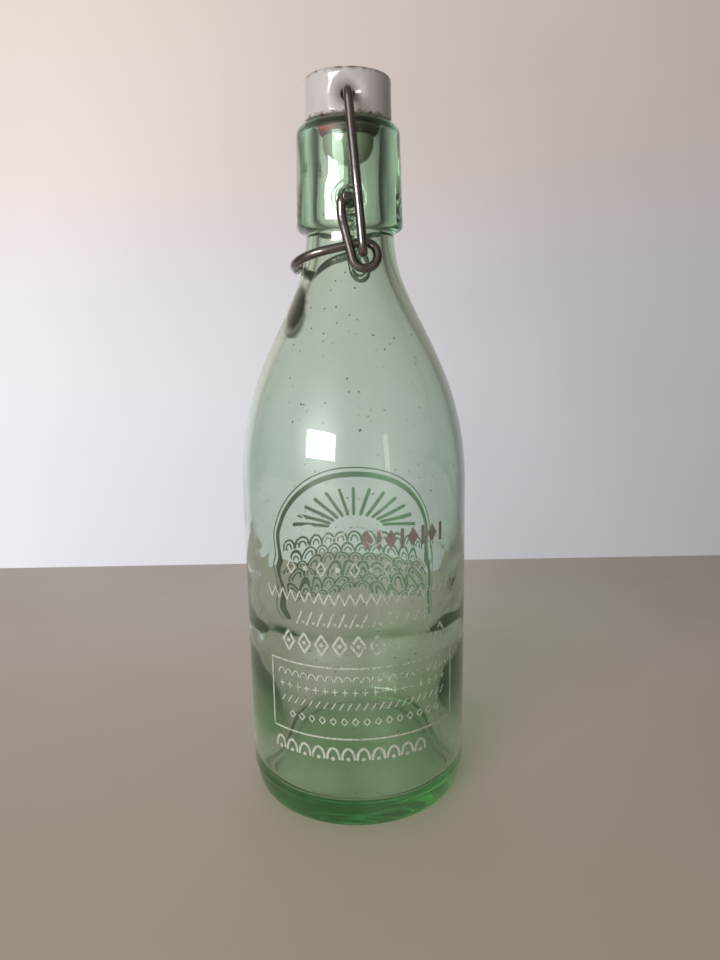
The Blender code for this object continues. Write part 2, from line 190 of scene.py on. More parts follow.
def inside_section():
    """Up the inside, from the floor's centre to the mouth's edge."""
    heel = (INNER_RADIUS - INNER_HEEL_WIDTH, FLOOR_TOP + INNER_HEEL_RISE)
    mouth = (BORE_RADIUS + MOUTH_WIDTH, LIP_TOP - MOUTH_DEPTH)
    points = straight((0.0, FLOOR_TOP), (heel[0], FLOOR_TOP), ROW_STEP)
    points += arc(heel, (INNER_HEEL_WIDTH, INNER_HEEL_RISE), -90.0, 0.0, 16)[1:]
    points += straight((INNER_RADIUS, heel[1]), (INNER_RADIUS, BODY_TOP), ROW_STEP / 2)[1:]
    points += list(reversed(shoulder(BORE_RADIUS, INNER_RADIUS, 56)))[1:]
    points += straight((BORE_RADIUS, COLLAR_BOTTOM), (BORE_RADIUS, mouth[1]), ROW_STEP / 2)[1:]
    points += arc(mouth, (MOUTH_WIDTH, MOUTH_DEPTH), 180.0, 90.0, 12)[1:]
    return points


def outside_section():
    """Down the outside, from the lip to the centre of the pushed-up bottom."""
    lip = (COLLAR_TOP_RADIUS - LIP_ROUND, LIP_TOP - LIP_ROUND)
    foot = (COLLAR_FOOT_RADIUS - COLLAR_FOOT_ROUND, COLLAR_BOTTOM + COLLAR_FOOT_ROUND)
    fillet = (NECK_RADIUS + NECK_FILLET, COLLAR_BOTTOM - NECK_FILLET)
    ring = FOOT_RADIUS - FOOT_RING_WIDTH
    points = arc(lip, (LIP_ROUND, LIP_ROUND), 90.0, 0.0, 12)
    points += straight((COLLAR_TOP_RADIUS, lip[1]), (COLLAR_FOOT_RADIUS, foot[1]), FINE_STEP)[1:]
    points += arc(foot, (COLLAR_FOOT_ROUND, COLLAR_FOOT_ROUND), 0.0, -90.0, 9)[1:]
    points += arc(fillet, (NECK_FILLET, NECK_FILLET), 90.0, 180.0, 4)
    points += [point for point in shoulder(NECK_RADIUS, BODY_RADIUS, 76) if point[1] < fillet[1]]
    points += straight((BODY_RADIUS, BODY_TOP), (BODY_RADIUS, HEEL_HEIGHT), ROW_STEP)[1:]
    points += arc((FOOT_RADIUS, HEEL_HEIGHT), (BODY_RADIUS - FOOT_RADIUS, HEEL_HEIGHT), 0.0, -90.0, 34)[1:]
    points += straight((FOOT_RADIUS, 0.0), (ring, 0.0), ROW_STEP)[1:]
    points += arc((0.0, 0.0), (ring, PUNT_HEIGHT), 0.0, 90.0, 14)[1:]
    return points


inside = inside_section()
outside = outside_section()
print(len(inside), "points inside and", len(outside), "outside")

# %% [markdown]
# Hot glass sinks before it sets. Here it left a thick lower wall that ends in a soft ridge on the inside, a
# little over a quarter of the way up, with fine rings beside it. Glassmakers call that a settle wave.
# It draws the dark level line across the bottle, and the thicker sides under it draw the two green bands.
# Above it the wall is thinner, with slow level swirls. The mould's seams, the line round the heel and the two
# sockets for the wire are small pushes of the outside. One way is to sculpt them. Here each is one smooth
# bump or one noise, added to the rest, so that each can be set by its own depth, width and height.

# %% Give the wall its unevenness, seams and sockets
socket_height = next(joint["pos_m"][2] for joint in frame["joints"] if joint["name"] == "lever_pivot")
SOCKET_DEPTH, SOCKET_FLOOR, SOCKET_MOUTH = 3.6 * MM, 1.7 * MM, 3.3 * MM
SOCKET_BEAD, SOCKET_BEAD_PLACE, SOCKET_BEAD_WIDTH = 0.22 * MM, 4.1 * MM, 0.5 * MM
OUTSIDE_WAVE, OUTSIDE_WAVE_SIZE = 0.05 * MM, 17.0 * MM
COLLAR_WAVE, COLLAR_WAVE_SIZE, COLLAR_UPRIGHT = 0.12 * MM, 3.8 * MM, 0.4
SEAM_RISE, SEAM_WIDTH = 0.10 * MM, 0.45 * MM
HEEL_SEAM_HEIGHT, HEEL_SEAM_RISE, HEEL_SEAM_WIDTH = 8.4 * MM, 0.22 * MM, 0.45 * MM
INSIDE_WAVE, INSIDE_WAVE_SIZE, INSIDE_WAVE_IN_NECK = 0.42 * MM, 21.0 * MM, 0.25
RIPPLE, RIPPLE_SIZE, RIPPLE_UPRIGHT = 0.2 * MM, 9.0 * MM, 1.7
RIPPLE_LOW, RIPPLE_HIGH, RIPPLE_FADE_IN, RIPPLE_FADE_OUT = 45.0 * MM, 98.0 * MM, 10 * MM, 30 * MM
SETTLE_HEIGHT, SETTLE_WANDER, SETTLE_SLANT = 56.0 * MM, 3.0 * MM, 3.5 * MM
SETTLE_RIDGE, SETTLE_RIDGE_WIDTH, SETTLE_RISE = 0.95 * MM, 2.3 * MM, 5.2 * MM
SETTLE_RING, SETTLE_RING_LENGTH, SETTLE_RING_REACH = 0.05 * MM, 2.4 * MM, 2.4
SETTLE_BEHIND, SETTLE_PATCHES, SETTLE_PATCH_SIZE = 0.15, 0.9, 9 * MM
THICKER_ALL, THICKER_LEFT, THICKER_RIGHT = 1.6 * MM, 1.8 * MM, 0.8 * MM
THICKEST_HEIGHT = 20.0 * MM
THINNER_ABOVE, THINNER_REACH = 0.45 * MM, 12 * MM
BORE_WAVE, BORE_WAVE_SIZE, BORE_UPRIGHT, BORE_WAVE_START = 0.22 * MM, 4.5 * MM, 0.28, 25 * MM
FLOOR_WAVE, FLOOR_WAVE_SIZE, FLOOR_TILT = 0.3 * MM, 14.0 * MM, 1.3 * MM


def ease(value, low, high):
    """A smooth step from 0 at low to 1 at high."""
    share = min(1.0, max(0.0, (value - low) / (high - low)))
    return share * share * (3.0 - 2.0 * share)


def wander(place, size, seed, upright=0.55):
    """A slow noise round the bottle. The seed only picks another part of it. Below 1, upright draws it out
    upward, as blown glass is, and above 1 it lies in level swirls."""
    return noise.noise(Vector((place.x, place.y, upright * place.z)) / size + Vector((seed, 0.0, 0.0)))


def outside_point(radius, height, around):
    """Where a point of the outside lies, with seams and sockets."""
    out = Vector((math.cos(around), math.sin(around), 0.0))
    place = out * radius + Vector((0.0, 0.0, height))
    if radius < FOOT_RADIUS and height < HEEL_HEIGHT:
        return place
    push = OUTSIDE_WAVE * wander(place, OUTSIDE_WAVE_SIZE, 3.0)
    push += SEAM_RISE * math.exp(-((place.y / SEAM_WIDTH) ** 2)) * ease(height, HEEL_SEAM_HEIGHT, HEEL_HEIGHT)
    push += HEEL_SEAM_RISE * math.exp(-(((height - HEEL_SEAM_HEIGHT) / HEEL_SEAM_WIDTH) ** 2))
    place += out * push * ease(height, 0.0, HEEL_SEAM_HEIGHT / 2)
    if height > COLLAR_BOTTOM:
        below_lip = 1.0 - ease(height, LIP_TOP - LIP_ROUND, LIP_TOP)
        place += out * COLLAR_WAVE * wander(place, COLLAR_WAVE_SIZE, 31.0, COLLAR_UPRIGHT) * below_lip
        beside = math.hypot(place.x, height - socket_height)
        sunk = SOCKET_DEPTH * (1.0 - ease(beside, SOCKET_FLOOR, SOCKET_MOUTH))
        bead = SOCKET_BEAD * math.exp(-(((beside - SOCKET_BEAD_PLACE) / SOCKET_BEAD_WIDTH) ** 2))
        place.y += math.copysign(bead - sunk, place.y)
    return place


def settle_ridge(place, height, out, settle):
    """How far the ridge and its rings stand inward at a point, mostly on the near side."""
    above = (height - settle) / SETTLE_RIDGE_WIDTH
    ridge = math.exp(-(above**2)) if above > 0.0 else max(0.0, 1.0 + (height - settle) / SETTLE_RISE)
    rings = math.sin(math.tau * (height - settle) / SETTLE_RING_LENGTH)
    rings *= math.exp(-((above / SETTLE_RING_REACH) ** 2))
    uneven = SETTLE_BEHIND + (1.0 - SETTLE_BEHIND) * ease(-out.y, -0.3, 0.5)
    uneven *= 1.0 + SETTLE_PATCHES * wander(place, SETTLE_PATCH_SIZE, 2.0)
    return (SETTLE_RIDGE * ridge + SETTLE_RING * rings) * uneven


def lower_wall(height, out, settle):
    """How much thicker the wall is below the ridge, most of all at its left and right."""
    thicker = THICKER_ALL + THICKER_LEFT * max(0.0, -out.x) ** 2 + THICKER_RIGHT * max(0.0, out.x) ** 2
    thicker *= 1.0 - ease(height, THICKEST_HEIGHT, settle)
    return thicker * (0.5 + 0.5 * ease(height, FLOOR_TOP, THICKEST_HEIGHT))


def inside_point(radius, height, around):
    """Where a point of the inside lies, with the wall's slow changes of thickness."""
    out = Vector((math.cos(around), math.sin(around), 0.0))
    place = out * radius + Vector((0.0, 0.0, height))
    body = 1.0 - ease(height, BODY_TOP + SHOULDER_PULL, COLLAR_BOTTOM)
    waved = INSIDE_WAVE_IN_NECK + (1.0 - INSIDE_WAVE_IN_NECK) * body
    push = INSIDE_WAVE * wander(place, INSIDE_WAVE_SIZE, 7.0) * waved
    rippled = ease(height, RIPPLE_LOW, RIPPLE_LOW + RIPPLE_FADE_IN)
    rippled *= 1.0 - ease(height, RIPPLE_HIGH - RIPPLE_FADE_OUT, RIPPLE_HIGH)
    push += RIPPLE * wander(place, RIPPLE_SIZE, 5.0, RIPPLE_UPRIGHT) * rippled
    settle = SETTLE_HEIGHT + SETTLE_WANDER * wander(place, INSIDE_WAVE_SIZE, 17.0)
    settle += SETTLE_SLANT * (-out.y - 1.0) / 2
    push -= settle_ridge(place, height, out, settle)
    push -= lower_wall(height, out, settle)
    push += THINNER_ABOVE * ease(height, settle, settle + THINNER_REACH) * body
    bore = ease(height, COLLAR_BOTTOM - BORE_WAVE_START, COLLAR_BOTTOM)
    push += BORE_WAVE * wander(place, BORE_WAVE_SIZE, 23.0, BORE_UPRIGHT) * bore
    below_mouth = 1.0 - ease(height, LIP_TOP - 2 * MOUTH_DEPTH, LIP_TOP)
    low = 1.0 - ease(height, FLOOR_TOP, FLOOR_TOP + 4 * INNER_HEEL_RISE)
    lift = FLOOR_WAVE * wander(place, FLOOR_WAVE_SIZE, 11.0) + FLOOR_TILT * place.y / BODY_RADIUS
    pushed = out * push * below_mouth * min(1.0, radius / INNER_RADIUS)
    return place + pushed + Vector((0.0, 0.0, lift * low))


for height in (30 * MM, 80 * MM):
    wall = outside_point(BODY_RADIUS, height, 0.0) - inside_point(INNER_RADIUS, height, 0.0)
    print("at", round(height / MM), "mm up the wall is", round(wall.length / MM, 1), "mm thick on the right")

# %% Turn the glass
COLUMNS = 256
CROWDING_SHARE = 0.45
ON_THE_AXIS = 0.01 * MM


def columns(count, crowding_share=0.0):
    """Angles round the axis, closer together at the four quarters where seams and sockets lie."""
    even = [math.tau * column / count for column in range(count)]
    return [around - crowding_share / 4 * math.sin(4 * around) for around in even]


def put(name, work):
    """Turn the worked mesh into a smooth object in the scene."""
    mesh = bpy.data.meshes.new(name)
    work.to_mesh(mesh)
    work.free()
    mesh.shade_smooth()
    made = bpy.data.objects.new(name, mesh)
    bpy.context.scene.collection.objects.link(made)
    return made


def turned(name, rows, angles, ring=False):
    """Close rows of (radius, height, shape function) round the axis into one mesh."""
    work = bmesh.new()
    loops = []
    for radius, height, shape in rows:
        spots = angles if radius > ON_THE_AXIS else [0.0]
        loops.append([work.verts.new(shape(radius, height, around)) for around in spots])
    pairs = list(zip(loops, loops[1:])) + ([(loops[-1], loops[0])] if ring else [])
    for first, second in pairs:
        for column in range(len(angles)):
            ahead = (column + 1) % len(angles)
            corners = [first[ahead % len(first)], first[column % len(first)]]
            corners += [second[column % len(second)], second[ahead % len(second)]]
            work.faces.new(list(dict.fromkeys(corners)))
    return put(name, work)


glass_rows = [(radius, height, inside_point) for radius, height in inside]
glass_rows += [(radius, height, outside_point) for radius, height in outside]
bottle = turned("bottle_glass", glass_rows, columns(COLUMNS, CROWDING_SHARE))
print("glass mesh has", len(bottle.data.polygons), "faces")

# %% [markdown]
# Soda-lime glass with a little iron in it is what cheap bottles were made of. Iron takes red and blue out of
# light along its way through the wall, so the thin wall looks grey green and the thick heel and collar look
# bright green. A tinted surface can't do that, because it tints the same everywhere. A plain absorption in
# the volume does it by length, and the real thickness from the last step then places every shade.
# The surface was fire-polished, so it is sharp. Years of use left specks, a scuffed foot, a grey crust inside
# the shoulder, and a thin dull coat over all. A dark band inside the lip and a dark patch on the left of the
# neck
# are painted shade: the band stands for the shaded gap under the stopper, the patch for dark things that the
# collar refracts.
# Light that is guided along a glass wall turns back dozens of times, and a render follows it only for a few,
# so the edges would go black. From its third turn back a ray therefore goes straight on, greener above the
# heel. Shadow rays and diffuse rays go straight on too, so that the lamps light what is inside and behind.

# %% Melt the soda-lime glass
GLASS_IOR = 1.52
IRON_GREEN, ABSORBED_PER_METRE = "#95deaa", 60.0
WARP_SIZE, WARP = 2.5 * MM, 0.8 * MM
SPECK_CELL, SPECK_RADIUS = 3.1 * MM, 0.30 * MM
FILM_SIZE, SCUFF_SIZE, SCUFF_FULL = 24.0 * MM, 0.7 * MM, 2 * MM
# Where the painted shade lies: the band inside the lip and the patch in the neck.
MOUTH_SHADE_START, MOUTH_SHADE_FULL = LIP_TOP - 1.0 * MM, LIP_TOP - 0.2 * MM
MOUTH_SHADE_DRIP, MOUTH_SHADE_RADIUS = 2.4 * MM, 12.2 * MM
NECK_SHADE_PLACE, NECK_SHADE_REACH = Vector((-9.0, 0.0, 187.5)) * MM, 3.6 * MM
CRUST_PLACE, CRUST_SIZE = Vector((-14.6, -8.0, 146.5)) * MM, Vector((4.8, 8.5, 13.5)) * MM
CRUST_LEVEL, CRUST_EDGE = 139.4 * MM, 0.6 * MM


def fire_polished_soda_lime_glass():
    """Clear glass with iron green in its depth, specks, scuffs and dried dirt on its surface, and painted shade
    in the lip and neck.
    """
    material, add = blank("fire_polished_soda_lime_glass")
    place = add("TexCoord")["Object"]
    height = add("SeparateXYZ", [place])["Z"]
    film = add("TexNoise", {"Vector": place, "Scale": 1 / FILM_SIZE, "Detail": 4.0})["Fac"]
    scuff = add("TexNoise", {"Vector": place, "Scale": 1 / SCUFF_SIZE, "Detail": 3.0})["Fac"]
    bent = add("TexNoise", {"Vector": place, "Scale": 1 / WARP_SIZE, "Detail": 2.0})["Color"]
    bent = add("VectorMath", {0: bent, "Scale": WARP}, operation="SCALE")[0]
    warped = add("VectorMath", [place, bent], **PLUS)[0]

    # Specks: round cells of which only some are kept, more of them where the film is thick.
    cells = add("TexVoronoi", {"Vector": warped, "Scale": 1 / SPECK_CELL})
    size = SPECK_RADIUS / SPECK_CELL
    spot = add("MapRange", [cells["Distance"], size, 0.5 * size], **EASED)[0]
    picked = add("SeparateColor", [cells["Color"]])[0]
    filmed = add("Math", [film, 2.0], **TIMES)[0]
    picked = add("Math", [picked, filmed], **PLUS)[0]
    kept = add("Math", [picked, 1.5], **OVER)[0]
    speck = add("Math", [spot, kept], **TIMES)[0]

    # Painted shade inside the lip: a dark band for the shaded gap under the stopper, its lower edge uneven.
    run = add("Math", [film, MOUTH_SHADE_DRIP], **TIMES)[0]
    run = add("Math", [height, run], **PLUS)[0]
    lip_painted_shade = add("MapRange", [run, MOUTH_SHADE_START, MOUTH_SHADE_FULL], **EASED)[0]
    flat = add("VectorMath", [place, (1.0, 1.0, 0.0)], **TIMES)[0]
    radius = add("VectorMath", [flat], **LENGTH)["Value"]
    within = add("Math", [radius, MOUTH_SHADE_RADIUS], **UNDER)[0]
    lip_painted_shade = add("Math", [lip_painted_shade, within], **TIMES)[0]

    # Painted shade: a dark patch on the left of the neck, for dark things that the collar refracts there.
    off = add("VectorMath", [warped, NECK_SHADE_PLACE], **APART)["Value"]
    darker_patch = add("MapRange", [off, NECK_SHADE_REACH, 0.1 * NECK_SHADE_REACH], **EASED)[0]
    broken = add("MapRange", [scuff, 0.4, 0.55], **EASED)[0]
    darker_patch = add("Math", [darker_patch, broken], **TIMES)[0]

    # The grey crust inside the shoulder, level at its foot as the liquid was that left it.
    off = add("VectorMath", [warped, CRUST_PLACE], **MINUS)[0]
    off = add("VectorMath", [off, CRUST_SIZE], operation="DIVIDE")[0]
    off = add("VectorMath", [off], **LENGTH)["Value"]
    crust = add("MapRange", [off, 1.0, 0.45], **EASED)[0]
    level = add("MapRange", [height, CRUST_LEVEL, CRUST_LEVEL + CRUST_EDGE], **EASED)[0]
    crust = add("Math", [crust, level], **TIMES)[0]

    # The specks, the crust and the painted shade each cover the glass by their own share, and a faint haze lies
    # between.
    dirt_and_painted_shade = add("Math", [lip_painted_shade, 0.9], **TIMES)[0]
    for dark_mark, cover in ((darker_patch, 0.95), (crust, 0.62)):
        covered = add("Math", [dark_mark, cover], **TIMES)[0]
        dirt_and_painted_shade = add("Math", [dirt_and_painted_shade, covered], **LARGER)[0]
    covered = add("Math", [speck, 0.9], **TIMES)[0]
    marks_and_painted_shade = add("Math", [covered, dirt_and_painted_shade], **LARGER)[0]
    haze = add("MapRange", [film, 0.40, 0.72, 0.0, 0.05], **EASED)[0]
    dull = add("Math", [marks_and_painted_shade, haze], **LARGER)[0]
    clear = add("Math", [1.0, dull], **MINUS)[0]
    # Specks, crust and painted shade all darken toward one dark grey green.
    darkness = add("MapRange", [marks_and_painted_shade, 0.0, 0.5], **EASED)[0]
    colour = add("Mix", {0: darkness, 6: "#f8faf7", 7: "#323c2c"}, **TINTED)[2]

    # Roughness comes from the worn foot, the haze and the specks.
    worn = add("MapRange", [scuff, 0.52, 0.66], **EASED)[0]
    low = add("MapRange", [height, HEEL_HEIGHT, SCUFF_FULL, 0.0, 0.5], **EASED)[0]
    worn = add("Math", [worn, low], **TIMES)[0]
    worn = add("Math", [worn, 0.25], **TIMES)[0]
    hazed = add("Math", [haze, 0.3], **TIMES)[0]
    rough = add("Math", [worn, hazed], **PLUS)[0]
    specked = add("Math", [speck, 0.6], **TIMES)[0]
    rough = add("Math", [rough, specked], **PLUS)[0]
    surface = {"Base Color": colour, "Roughness": rough, "IOR": GLASS_IOR, "Transmission Weight": clear}
    coat = {"Coat Weight": 0.4, "Coat Roughness": 0.3}
    shader = add("BsdfPrincipled", {**surface, **coat})[0]

    # Rays that go straight on: those turned back three times, and those that only carry the lamps' light.
    path = add("LightPath")
    turned_back = add("Math", [path["Glossy Depth"], 2.5], **OVER)[0]
    straight_on = add("Math", [path["Is Shadow Ray"], path["Is Diffuse Ray"]], **LARGER)[0]
    straight_on = add("Math", [straight_on, turned_back], **LARGER)[0]
    above_heel = add("MapRange", [height, HEEL_HEIGHT, 2 * HEEL_HEIGHT], **EASED)[0]
    greener = add("Math", [turned_back, above_heel], **TIMES)[0]
    tint = add("Mix", {0: greener, 6: "#fbfdfa", 7: "#4f8558"}, **TINTED)[2]
    through = add("BsdfTransparent", {"Color": tint})[0]
    both = add("MixShader", [straight_on, shader, through])[0]
    depth = add("VolumeAbsorption", {"Color": IRON_GREEN, "Density": ABSORBED_PER_METRE})[0]
    add("OutputMaterial", {"Surface": both, "Volume": depth})
    return material


bottle.data.materials.append(fire_polished_soda_lime_glass())
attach(bottle, "bottle")
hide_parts("glass_bottle")
red_per_metre = (1 - linear(IRON_GREEN)[0]) * ABSORBED_PER_METRE
red_lost = 1 - math.exp(-red_per_metre * 2 * (BODY_RADIUS - INNER_RADIUS))
print("red light loses", round(100 * red_lost), "% in two walls")

# %% [markdown]
# The print on such a bottle is enamel: ground glass and colour, pressed through a screen and fired on.
# It stands a little proud, stays matt, and wears away in specks. A painted mask on the glass would have no edge
# and no thickness, so each mark here is a thin strip of its own, drawn flat in millimetres along the wall
# and then laid round it. The marks are plain ornament: zigzags, lozenges, waves and dots.

# %% Draw strokes on a flat sheet
STROKE_STEP = 0.6
END_REACHES, ROUND_END = (0.3, 0.7, 1.0), 0.2


def strip(sheet, spine, halves, closed=False):
    """Add a strip along a spine of (along, up) points in mm, with half its width at each point."""
    count = len(spine)
    first = len(sheet["spots"])
    for index, (along, up) in enumerate(spine):
        if closed:
            before, after = spine[index - 1], spine[(index + 1) % count]
        else:
            before, after = spine[max(0, index - 1)], spine[min(count - 1, index + 1)]
        run, rise = after[0] - before[0], after[1] - before[1]
        length = math.hypot(run, rise)
        across = (-rise / length * halves[index], run / length * halves[index])
        sheet["spots"] += [(along + across[0], up + across[1]), (along - across[0], up - across[1])]
    for index in range(count if closed else count - 1):
        here, ahead = first + 2 * index, first + 2 * ((index + 1) % count)
        sheet["faces"].append((here, here + 1, ahead + 1, ahead))


def stroke(sheet, corners, width, closed=False):
    """Paint along corners with a round brush of a width."""
    ends = list(corners) + ([corners[0]] if closed else [])
    spine = [ends[0]]
    for start, end in zip(ends, ends[1:]):
        spine += straight(start, end, STROKE_STEP)[1:]
    half = width / 2
    if closed:
        strip(sheet, spine[:-1], [half] * (len(spine) - 1), closed=True)
        return
    first, last = Vector(spine[0]), Vector(spine[-1])
    inward = (Vector(spine[1]) - first).normalized()
    outward = (last - Vector(spine[-2])).normalized()
    wides = [half * max(ROUND_END, math.sqrt(1 - reach * reach)) for reach in END_REACHES]
    head = [tuple(first - inward * half * reach) for reach in reversed(END_REACHES)]
    tail = [tuple(last + outward * half * reach) for reach in END_REACHES]
    strip(sheet, head + spine + tail, wides[::-1] + [half] * len(spine) + wides)


def lozenge(sheet, along, up, half_length, half_height):
    """A filled diamond."""
    shares = [-1.0, -0.66, -0.33, 0.0, 0.33, 0.66, 1.0]
    spine = [(along + half_length * share, up) for share in shares]
    strip(sheet, spine, [half_height * max(0.04, 1 - abs(share)) for share in shares])


def dot(sheet, along, up, radius):
    """A filled round dot."""
    shares = [-1.0, -0.85, -0.5, 0.0, 0.5, 0.85, 1.0]
    spine = [(along + radius * share, up) for share in shares]
    strip(sheet, spine, [radius * max(0.15, math.sqrt(1 - share * share)) for share in shares])


def bow(sheet, centre, radii, start, end, width, steps):
    """A stroke along an ellipse's arc."""
    stroke(sheet, arc(centre, radii, start, end, steps), width)


print("marks are drawn in steps of", STROKE_STEP, "mm")

# %% Lay a sheet round the wall
PRINT_GAP = 0.02 * MM
PRINT_THICKNESS = 0.07 * MM
FRONT, BACK = -math.pi / 2, math.pi / 2


def outside_radius(height):
    """The turned radius of the wall's outside at a height, below the collar."""
    for upper, lower in zip(outside, outside[1:]):
        if upper[1] < COLLAR_BOTTOM and lower[1] <= height <= upper[1] and upper[1] > lower[1]:
            share = (upper[1] - height) / (upper[1] - lower[1])
            return upper[0] + (lower[0] - upper[0]) * share
    return BODY_RADIUS


def laid(name, draw, facing, material):
    """Draw a flat sheet and lay it round the wall, its middle facing an angle, as thick as fired enamel."""
    sheet = {"spots": [], "faces": []}
    draw(sheet)
    spots = []
    for along, up in sheet["spots"]:
        height = up * MM
        around = facing + along * MM / BODY_RADIUS
        place = outside_point(outside_radius(height), height, around)
        out = Vector((math.cos(around), math.sin(around), 0.0))
        spots.append(place + out * PRINT_GAP)
    mesh = bpy.data.meshes.new(name)
    mesh.from_pydata(spots, [], sheet["faces"])
    mesh.materials.append(material)
    made = bpy.data.objects.new(name, mesh)
    bpy.context.scene.collection.objects.link(made)
    thick = made.modifiers.new("fired thickness", "SOLIDIFY")
    thick.thickness = PRINT_THICKNESS
    thick.offset = 1.0
    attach(made, "bottle")
    print(name, "has", len(sheet["faces"]), "strips")


print("at the top of the body the wall is", round(outside_radius(BODY_TOP) / MM, 1), "mm from the axis")

# %% [markdown]
# Fired enamel is glass full of pigment, so it scatters like chalk under a dull glaze. The white is laid thickly
# and stops the light. The green and the brown are thinner, and a little light comes through them. The brown is
# painted shade: it is the white print drawn darker where the bottle's right side lies in shade.
# Washing and rubbing took it off in specks, most on the side that was gripped. A painted wear mask would need
# an image. Here the wear is a noise that cuts the enamel away where it is high, so that the marks keep crisp
# edges where they are whole.

# %% Fire the enamel
WEAR_SIZE, PATCH_SIZE = 0.9 * MM, 8.1 * MM
WORN_PLACE, WORN_REACH = Vector((13.0, -30.0, 58.0)) * MM, 26.0 * MM


def screen_fired_enamel(name, colour, stained, wear, cover):
    """Matt enamel of a colour, stained in places and worn through where the hand held it. Whole enamel stops
    a share of the light, its cover."""
    material, add = blank(name)
    place = add("TexCoord")["Object"]
    fine = {"Vector": place, "Scale": 1 / WEAR_SIZE, "Detail": 5.0, "Roughness": 0.7}
    grain = add("TexNoise", fine)["Fac"]
    patch = add("TexNoise", {"Vector": place, "Scale": 1 / PATCH_SIZE, "Detail": 2.0})["Fac"]
    away = add("VectorMath", [place, WORN_PLACE], **APART)["Value"]
    held = add("MapRange", [away, WORN_REACH, 0.0, 0.0, wear], **EASED)[0]
    patch = add("Math", [patch, 0.25], **TIMES)[0]
    level = add("Math", [patch, held], **PLUS)[0]
    worn = add("Math", [grain, level], **PLUS)[0]
    whole = add("MapRange", [worn, 0.80, 0.74, 0.0, cover], **EASED)[0]
    darker_patch = add("MapRange", [grain, 0.45, 0.62], **EASED)[0]
    colour = add("Mix", {0: darker_patch, 6: colour, 7: stained}, **TINTED)[2]
    rough = add("MapRange", [grain, 0.35, 0.65, 0.38, 0.6], **EASED)[0]
    shader = add("BsdfPrincipled", {"Base Color": colour, "Roughness": rough, "Alpha": whole})[0]
    add("OutputMaterial", {"Surface": shader})
    return material


white_enamel = screen_fired_enamel("screen_fired_white_enamel", "#c6cdc1", "#a5ae9f", 0.26, 1.0)
green_enamel = screen_fired_enamel("screen_fired_green_enamel", "#4f8563", "#417356", 0.0, 0.85)
# Painted shade: the band on the right is the white print, coloured brown grey for the shade on that side.
shaded_band_enamel = screen_fired_enamel("screen_fired_brown_enamel_painted_shade", "#9c8f8a", "#887b75", 0.1, 0.85)
print("a hand wore it within", round(WORN_REACH / MM), "mm, in specks of about", round(WEAR_SIZE / MM, 1), "mm")

# %% [markdown]
# The front print has rows of small marks above, in and below a thin frame. Each could be set mark by mark.
# Here it is a loop that repeats one motif along the wall, as tall and as wide as a printed line on such a
# bottle, so that a row can be moved or widened by one number.

# %% Print the front
FINE, MEDIUM, BOLD = 0.34, 0.5, 0.72


def row(first, last, pitch):
    """Middles of a row's motifs between two places along the wall."""
    count = max(1, round((last - first) / pitch))
    return [first + (last - first) * (index + 0.5) / count for index in range(count)]


def diamond(sheet, along, up, half_length, half_height, width):
    """A diamond's outline."""
    sides = [(along - half_length, up), (along, up + half_height), (along + half_length, up)]
    stroke(sheet, sides + [(along, up - half_height)], width, True)


def print_front(sheet):
    """The white rows and the frame."""
    for index, along in enumerate(row(-21.0, 25.0, 4.6)):
        if index % 2:
            dot(sheet, along, 78.9, 0.75)
        else:
            diamond(sheet, along, 78.9, 1.3, 2.0, MEDIUM)
    zigzag = [(along, 68.9 if index % 2 else 72.1) for index, along in enumerate(row(-28.5, 33.8, 1.45))]
    stroke(sheet, zigzag, MEDIUM)
    for along in row(-18.0, 22.5, 3.1):
        stroke(sheet, [(along - 0.9, 62.6), (along + 0.7, 66.2)], MEDIUM)
        dot(sheet, along + 1.1, 63.2, 0.42)
    for along in row(-23.0, 29.0, 5.2):
        diamond(sheet, along, 57.0, 1.9, 2.9, BOLD)
        dot(sheet, along, 57.0, 0.6)
    stroke(sheet, [(-27.3, 50.5), (32.0, 50.5), (32.0, 29.1), (-27.3, 29.1)], MEDIUM, True)
    for along in row(-24.8, 29.5, 2.6):
        bow(sheet, (along, 46.4), (1.05, 1.5), 0.0, 180.0, FINE, 8)
    for along in row(-24.8, 29.0, 2.9):
        stroke(sheet, [(along - 0.8, 43.3), (along + 0.8, 43.3)], FINE)
        stroke(sheet, [(along, 42.4), (along, 44.2)], FINE)
    for along in row(-24.0, 28.5, 2.3):
        stroke(sheet, [(along - 0.6, 38.1), (along + 0.6, 39.9)], FINE)
    for along in row(-21.5, 26.5, 3.3):
        diamond(sheet, along, 34.4, 0.9, 1.1, FINE)
    for along in row(-27.0, 21.0, 4.4):
        bow(sheet, (along, 22.9), (1.75, 3.2), 0.0, 180.0, BOLD, 12)
        dot(sheet, along, 22.9, 0.6)


def print_scroll(sheet):
    """A thin flourish over the rows: one long wave that ends in two curls."""
    wave = [(-16.0 + step * 0.8, 89.5 + 1.6 * math.sin(step * 0.8 / 2.1)) for step in range(27)]
    stroke(sheet, wave, FINE)
    bow(sheet, (-16.0, 91.7), (2.6, 2.2), 270.0, 20.0, FINE, 18)
    bow(sheet, (5.2, 87.8), (2.4, 2.0), 100.0, -150.0, FINE, 18)


def print_band(sheet):
    """The band to the right, in brown grey as painted shade on the white print: bars and lozenges by turns."""
    for index, along in enumerate(row(1.5, 28.0, 3.3)):
        if index % 2:
            stroke(sheet, [(along, 84.9), (along, 89.3)], 1.1)
        else:
            lozenge(sheet, along, 87.1, 1.7, 2.7)


laid("enamel_front_rows", print_front, FRONT, white_enamel)
laid("enamel_front_scroll", print_scroll, FRONT, white_enamel)
laid("enamel_front_band", print_band, FRONT, shaded_band_enamel)

